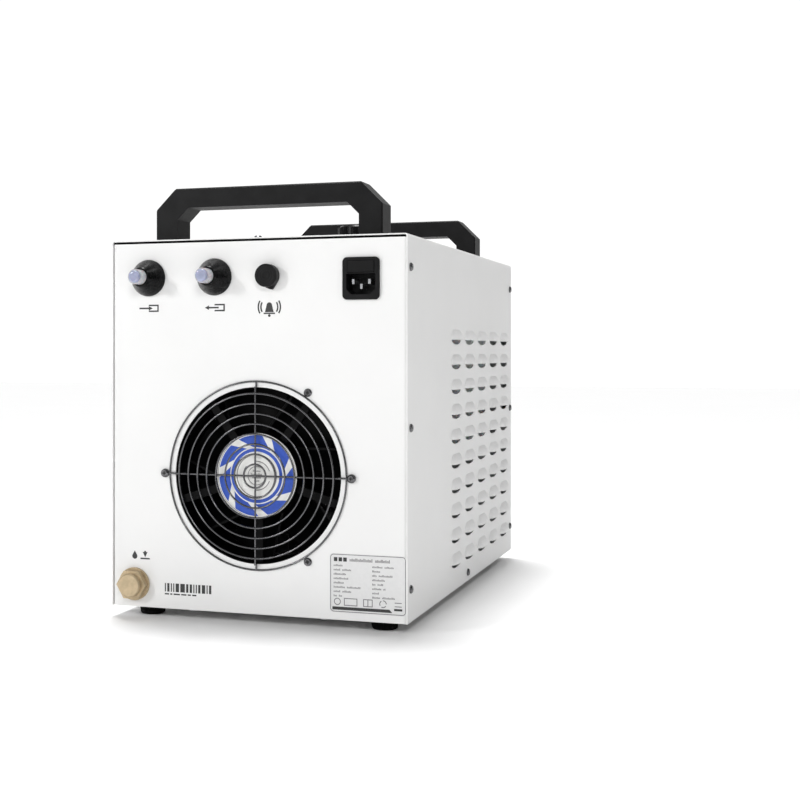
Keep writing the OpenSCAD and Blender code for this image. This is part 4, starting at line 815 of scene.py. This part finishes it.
# Lengths in mm of the words in each row of the left and of the right column
LABEL_ROWS = (
    ((8, 0), (9, 8)), ((6, 8), (7, 0)), ((11, 0), (4, 12)), ((13, 0), (11, 0)),
    ((9, 0), (3, 5)), ((10, 12), (8, 2)), ((6, 8), (6, 0)), ((3, 3), (7, 11)),
)
ROW_STEP = 3.62 * MM
ROW_H = 1.7 * MM
WORD_GAP = 1.6 * MM
TEXT_LEFT = 3.4 * MM - LABEL_W / 2
TEXT_RIGHT = 37 * MM - LABEL_W / 2
HEAD_Z = LABEL_H / 2 - 5 * MM
HEAD_H = 2.8 * MM
HEAD_TO_ROWS = 5 * MM
# Start and length of the two words in the heading
HEAD_WORDS = ((14 * MM, 20 * MM), (36 * MM, 13 * MM))
# Three blocks before them
BLOCK_W = 3.1 * MM
BLOCK_H = 3.4 * MM
BLOCK_STEP = 4.1 * MM
BLOCK_START = 1.9 * MM
# Plain signs in a row below: a ring, a wide box, a box with two halves, three arcs, two lines
SIGN_Z = 9.2 * MM - LABEL_H / 2
SIGN_LINE = 0.7 * MM
SIGN_H = 5 * MM
BOX_RAIL_UP = 2.85 * MM
RING_X = 3.4 * MM
RING_R = (2.3 * MM, 3 * MM)
WIDE_BOX = (15 * MM, 11 * MM)
SPLIT_BOX = (30 * MM, 7.5 * MM)
ARCS_X = 43 * MM
ARCS_R = (2.4 * MM, 3.2 * MM)
LINES_X = 56 * MM
LINES_W = 6 * MM
LINES_UP = 1.5 * MM
# Dark strip along the lower edge, with a slanted end, and a dark bar below the two lines
STRIP_Z = 3.6 * MM - LABEL_H / 2
STRIP_HALF = 1.3 * MM
STRIP_START = -1 * MM
STRIP_END = (51 * MM, 48.5 * MM)
BAR_DROP = 4.2 * MM
BAR_W = 7 * MM
BAR_H = 1.8 * MM

label_x = case_high.x - LABEL_FROM_RIGHT - LABEL_W / 2
label_z = case_low.z + LABEL_FROM_FLOOR + LABEL_H / 2


def label_base():
    film = Sheet("label_film", on_rear(label_x, label_z), label_film)
    film.round_rect(LABEL_W, LABEL_H, LABEL_CORNER)
    film.make()


def label_border():
    border = Sheet("label_border", on_rear(label_x, label_z, 1), ink_grey)
    wide, high = LABEL_W - 2 * LABEL_EDGE, LABEL_H - 2 * LABEL_EDGE
    for side in (-1, 1):
        border.rect(side * (wide - LABEL_EDGE) / 2, 0, LABEL_EDGE, high - 2 * LABEL_CORNER)
        border.rect(0, side * (high - LABEL_EDGE) / 2, wide - 2 * LABEL_CORNER, LABEL_EDGE)
    for side_x, side_z, start in CORNERS:
        border.band(side_x * (wide / 2 - LABEL_CORNER), side_z * (high / 2 - LABEL_CORNER),
                    LABEL_CORNER - LABEL_EDGE, LABEL_CORNER, start, sweep=90, steps=24)
    border.make()


def label_words(sheet):
    for row, columns in enumerate(LABEL_ROWS):
        z = HEAD_Z - HEAD_TO_ROWS - row * ROW_STEP
        for x, words in zip((TEXT_LEFT, TEXT_RIGHT), columns):
            for length in words:
                if length:
                    tick_row(sheet, x, z, length * MM, ROW_H)
                    x += length * MM + WORD_GAP
    for start, length in HEAD_WORDS:
        tick_row(sheet, TEXT_LEFT + start, HEAD_Z, length, HEAD_H)


def label_signs(sheet):
    sheet.band(TEXT_LEFT + RING_X, SIGN_Z, *RING_R)
    for x, wide in (WIDE_BOX, SPLIT_BOX):
        for side in (-1, 1):
            sheet.rect(TEXT_LEFT + x + side * wide / 2, SIGN_Z, SIGN_LINE, SIGN_H)
            sheet.rect(TEXT_LEFT + x, SIGN_Z + side * BOX_RAIL_UP, wide + SIGN_LINE, SIGN_LINE)
    sheet.rect(TEXT_LEFT + SPLIT_BOX[0], SIGN_Z, SIGN_LINE, SIGN_H)
    for start in (0, 120, 240):
        sheet.band(TEXT_LEFT + ARCS_X, SIGN_Z, *ARCS_R, start, sweep=90)
    for side in (-1, 1):
        sheet.rect(TEXT_LEFT + LINES_X, SIGN_Z + side * LINES_UP, LINES_W, SIGN_LINE)


def label_dark():
    dark = Sheet("label_dark", on_rear(label_x, label_z, 1), black_ink_and_shade)
    for i in range(3):
        dark.rect(TEXT_LEFT + BLOCK_START + i * BLOCK_STEP, HEAD_Z, BLOCK_W, BLOCK_H)
    low, high = STRIP_Z - STRIP_HALF, STRIP_Z + STRIP_HALF
    start = TEXT_LEFT + STRIP_START
    dark.outline([(start, low), (TEXT_LEFT + STRIP_END[0], low),
                  (TEXT_LEFT + STRIP_END[1], high), (start, high)])
    dark.rect(TEXT_LEFT + LINES_X, SIGN_Z - BAR_DROP, BAR_W, BAR_H)
    dark.make()


def rating_label():
    label_base()
    label_border()
    rows = Sheet("label_rows", on_rear(label_x, label_z, 1), ink_grey)
    label_words(rows)
    label_signs(rows)
    rows.make()
    label_dark()


rating_label()


# Plain stripes of unequal width, low on the rear panel, with a broken line below them

STRIPES_W = 44 * MM
STRIPES_H = 7.4 * MM
STRIPES_OVER = 51 * MM
STRIPES_DROP = 1.6 * MM
STRIPE_WIDTHS = (1, 2, 1, 1, 3, 4, 2, 2, 1, 1, 2, 3, 1, 2)
# Gap between stripes, in widths of the thinnest
STRIPE_GAP = 1.15
DASHES = (4 * MM, 2 * MM, 6 * MM, 5 * MM, 3 * MM, 4 * MM)
DASH_T = 1.2 * MM
DASH_GAP = 1.2 * MM
DASH_DROP = 2 * MM


def stripes():
    place = on_rear(drain.x + STRIPES_OVER, drain.z - STRIPES_DROP)
    sheet = Sheet("stripes", place, black_ink_and_shade)
    unit = STRIPES_W / (sum(STRIPE_WIDTHS) + STRIPE_GAP * (len(STRIPE_WIDTHS) - 1))
    x = -STRIPES_W / 2
    for width in STRIPE_WIDTHS:
        sheet.rect(x + width * unit / 2, 0, width * unit, STRIPES_H)
        x += (width + STRIPE_GAP) * unit
    x = -STRIPES_W / 2
    for length in DASHES:
        sheet.rect(x + length / 2, -STRIPES_H / 2 - DASH_DROP, length, DASH_T)
        x += length + DASH_GAP
    sheet.make()


stripes()


# Round label on the fan's fixed hub: slanted blades round a plain disc with rings

HUB_R = 36.4 * MM
HUB_BLADES = 7
# Share of its step round the hub that each blade fills
BLADE_SHARE = 0.72
# Turn of the first blade, and how far each blade's outer end is turned on, in degrees
BLADE_START = 8
BLADE_SLANT = 22
BLADE_R = (24.4 * MM, 34.6 * MM)
BLUE_RING_R = (20.6 * MM, 23.4 * MM)
# Inner radius, outer radius and steps of the grey rings
GREY_RINGS = ((35.3 * MM, 35.8 * MM, 120), (17.6 * MM, 18.4 * MM, 96), (7.6 * MM, 8.2 * MM, 72))
GREY_ARC_R = (12 * MM, 12.7 * MM)
# Height and length in mm of the rows of ticks
HUB_ROWS = ((4, 7), (1.2, 10), (-1.6, 8), (-4.4, 5))
HUB_ROW_H = 1.6 * MM


def hub_label():
    disc = Sheet("hub_label", on_rear(fan_axis.x, fan_axis.z), ink_white)
    disc.disc(0, 0, HUB_R, 96)
    disc.make()


def hub_blades():
    blue = Sheet("hub_label_blue", on_rear(fan_axis.x, fan_axis.z, 1), ink_blue)
    step = 360 / HUB_BLADES
    for i in range(HUB_BLADES):
        blue.band(0, 0, *BLADE_R, BLADE_START + i * step, step * BLADE_SHARE, steps=180,
                  slant=BLADE_SLANT)
    blue.band(0, 0, *BLUE_RING_R, steps=120)
    blue.make()


def hub_print():
    dark = Sheet("hub_label_dark", on_rear(fan_axis.x, fan_axis.z, 1), ink_grey)
    for inner, outer, steps in GREY_RINGS:
        dark.band(0, 0, inner, outer, steps=steps)
    for start in (20, 140, 260):
        dark.band(0, 0, *GREY_ARC_R, start, sweep=80)
    for z, length in HUB_ROWS:
        tick_row(dark, -length / 2 * MM, z * MM, length * MM, HUB_ROW_H)
    dark.make()


hub_label()
hub_blades()
hub_print()


# Floor and light

FLOOR_HALF = 8
# Light of the white wall behind the object, of the rest of the room and of its dark side
WALL_LIGHT = 1.06
ROOM_LIGHT = 0.36
DARK_SIDE = 0.15
# Middle of the wall and of the dark side, each with the angles over which it fades
WALL_SIDE = Vector((-0.33, 0.944, 0.0))
WALL_FADE = (50, 28)
SHADE_SIDE = Vector((0.98, -0.1, 0.17))
SHADE_FADE = (75, 25)
# Name, place, power in watts and size of the round lamps
LAMPS = (
    ("key_left", (-1.25, -1.8, 0.85), 12, 0.36),
    ("key_right", (0.8, -2.1, 1.0), 10, 0.36),
    ("side", (1.3, 0.1, 2.0), 6, 0.5),
)
PORT_HEIGHT = 0.25
SIDE_HEIGHT = 0.2
SUN_PLACE = (-0.3, 0.42, 2.4)
SUN_STRENGTH = 2.3
SUN_ANGLE = math.radians(18)


def floor():
    bm = bmesh.new()
    bmesh.ops.create_grid(bm, x_segments=2, y_segments=2, size=FLOOR_HALF)
    mesh = mesh_of("floor", bm)
    mesh.materials.append(finish_of("floor_white", (0.94, 0.94, 0.94), rough=0.9, tint=0.004,
                                    patch=400 * MM, grain=5 * MM, depth=0.01 * MM))
    add_object("floor", mesh)


def add_light(name, kind, place, target, power):
    light = bpy.data.lights.new(name, kind)
    light.energy = power
    obj = add_object(name, light)
    obj.location = place
    obj.rotation_mode = "QUATERNION"
    obj.rotation_quaternion = (Vector(target) - Vector(place)).to_track_quat("-Z", "Y")
    return light


def fade_round(tree, coords, side, angles, far, near):
    """Strength that goes from far to near towards a side of the room, over two angles."""
    towards = tree.nodes.new("ShaderNodeVectorMath")
    towards.operation = "DOT_PRODUCT"
    towards.inputs[1].default_value = side
    tree.links.new(coords, towards.inputs[0])
    bounds = (math.cos(math.radians(angle)) for angle in angles)
    fade = map_range(tree, towards.outputs["Value"], *bounds, far, near)
    fade.interpolation_type = "SMOOTHSTEP"
    return fade.outputs["Result"]


def room():
    world = bpy.data.worlds.new("studio")
    bpy.context.scene.world = world
    world.use_nodes = True
    tree = world.node_tree
    background = tree.nodes["Background"]
    background.inputs["Color"].default_value = (1, 1, 1, 1)
    coords = tree.nodes.new("ShaderNodeTexCoord").outputs["Generated"]
    product = tree.nodes.new("ShaderNodeMath")
    product.operation = "MULTIPLY"
    wall = fade_round(tree, coords, WALL_SIDE, WALL_FADE, ROOM_LIGHT, WALL_LIGHT)
    shade = fade_round(tree, coords, SHADE_SIDE, SHADE_FADE, 1.0, DARK_SIDE)
    tree.links.new(wall, product.inputs[0])
    tree.links.new(shade, product.inputs[1])
    tree.links.new(product.outputs["Value"], background.inputs["Strength"])


def lamps():
    ports = (0, rear_y, PORT_HEIGHT)
    targets = {"key_left": ports, "key_right": ports, "side": (case_high.x, 0, SIDE_HEIGHT)}
    for name, place, power, size in LAMPS:
        light = add_light(name, "AREA", place, targets[name], power)
        light.shape = "DISK"
        light.size = size
    sun = add_light("top", "SUN", SUN_PLACE, (0, 0, 0), SUN_STRENGTH)
    sun.angle = SUN_ANGLE


# Camera and tones

CAMERA_PLACE = Vector((0.424, -1.312, 0.234))
CAMERA_YAW = math.radians(19.2)
CAMERA_LENS = 61.9
CAMERA_SENSOR = 36
CAMERA_SHIFT = (0.12375, -0.060)
CAMERA_END = 50


def camera():
    data = bpy.data.cameras.new("camera")
    data.lens = CAMERA_LENS
    data.sensor_width = CAMERA_SENSOR
    data.shift_x, data.shift_y = CAMERA_SHIFT
    data.clip_end = CAMERA_END
    obj = add_object("camera", data)
    obj.location = CAMERA_PLACE
    obj.rotation_euler = (math.radians(90), 0, CAMERA_YAW)
    bpy.context.scene.camera = obj
    bpy.context.scene.view_settings.view_transform = "Standard"
    bpy.context.scene.view_settings.look = "None"


floor()
room()
lamps()
camera()
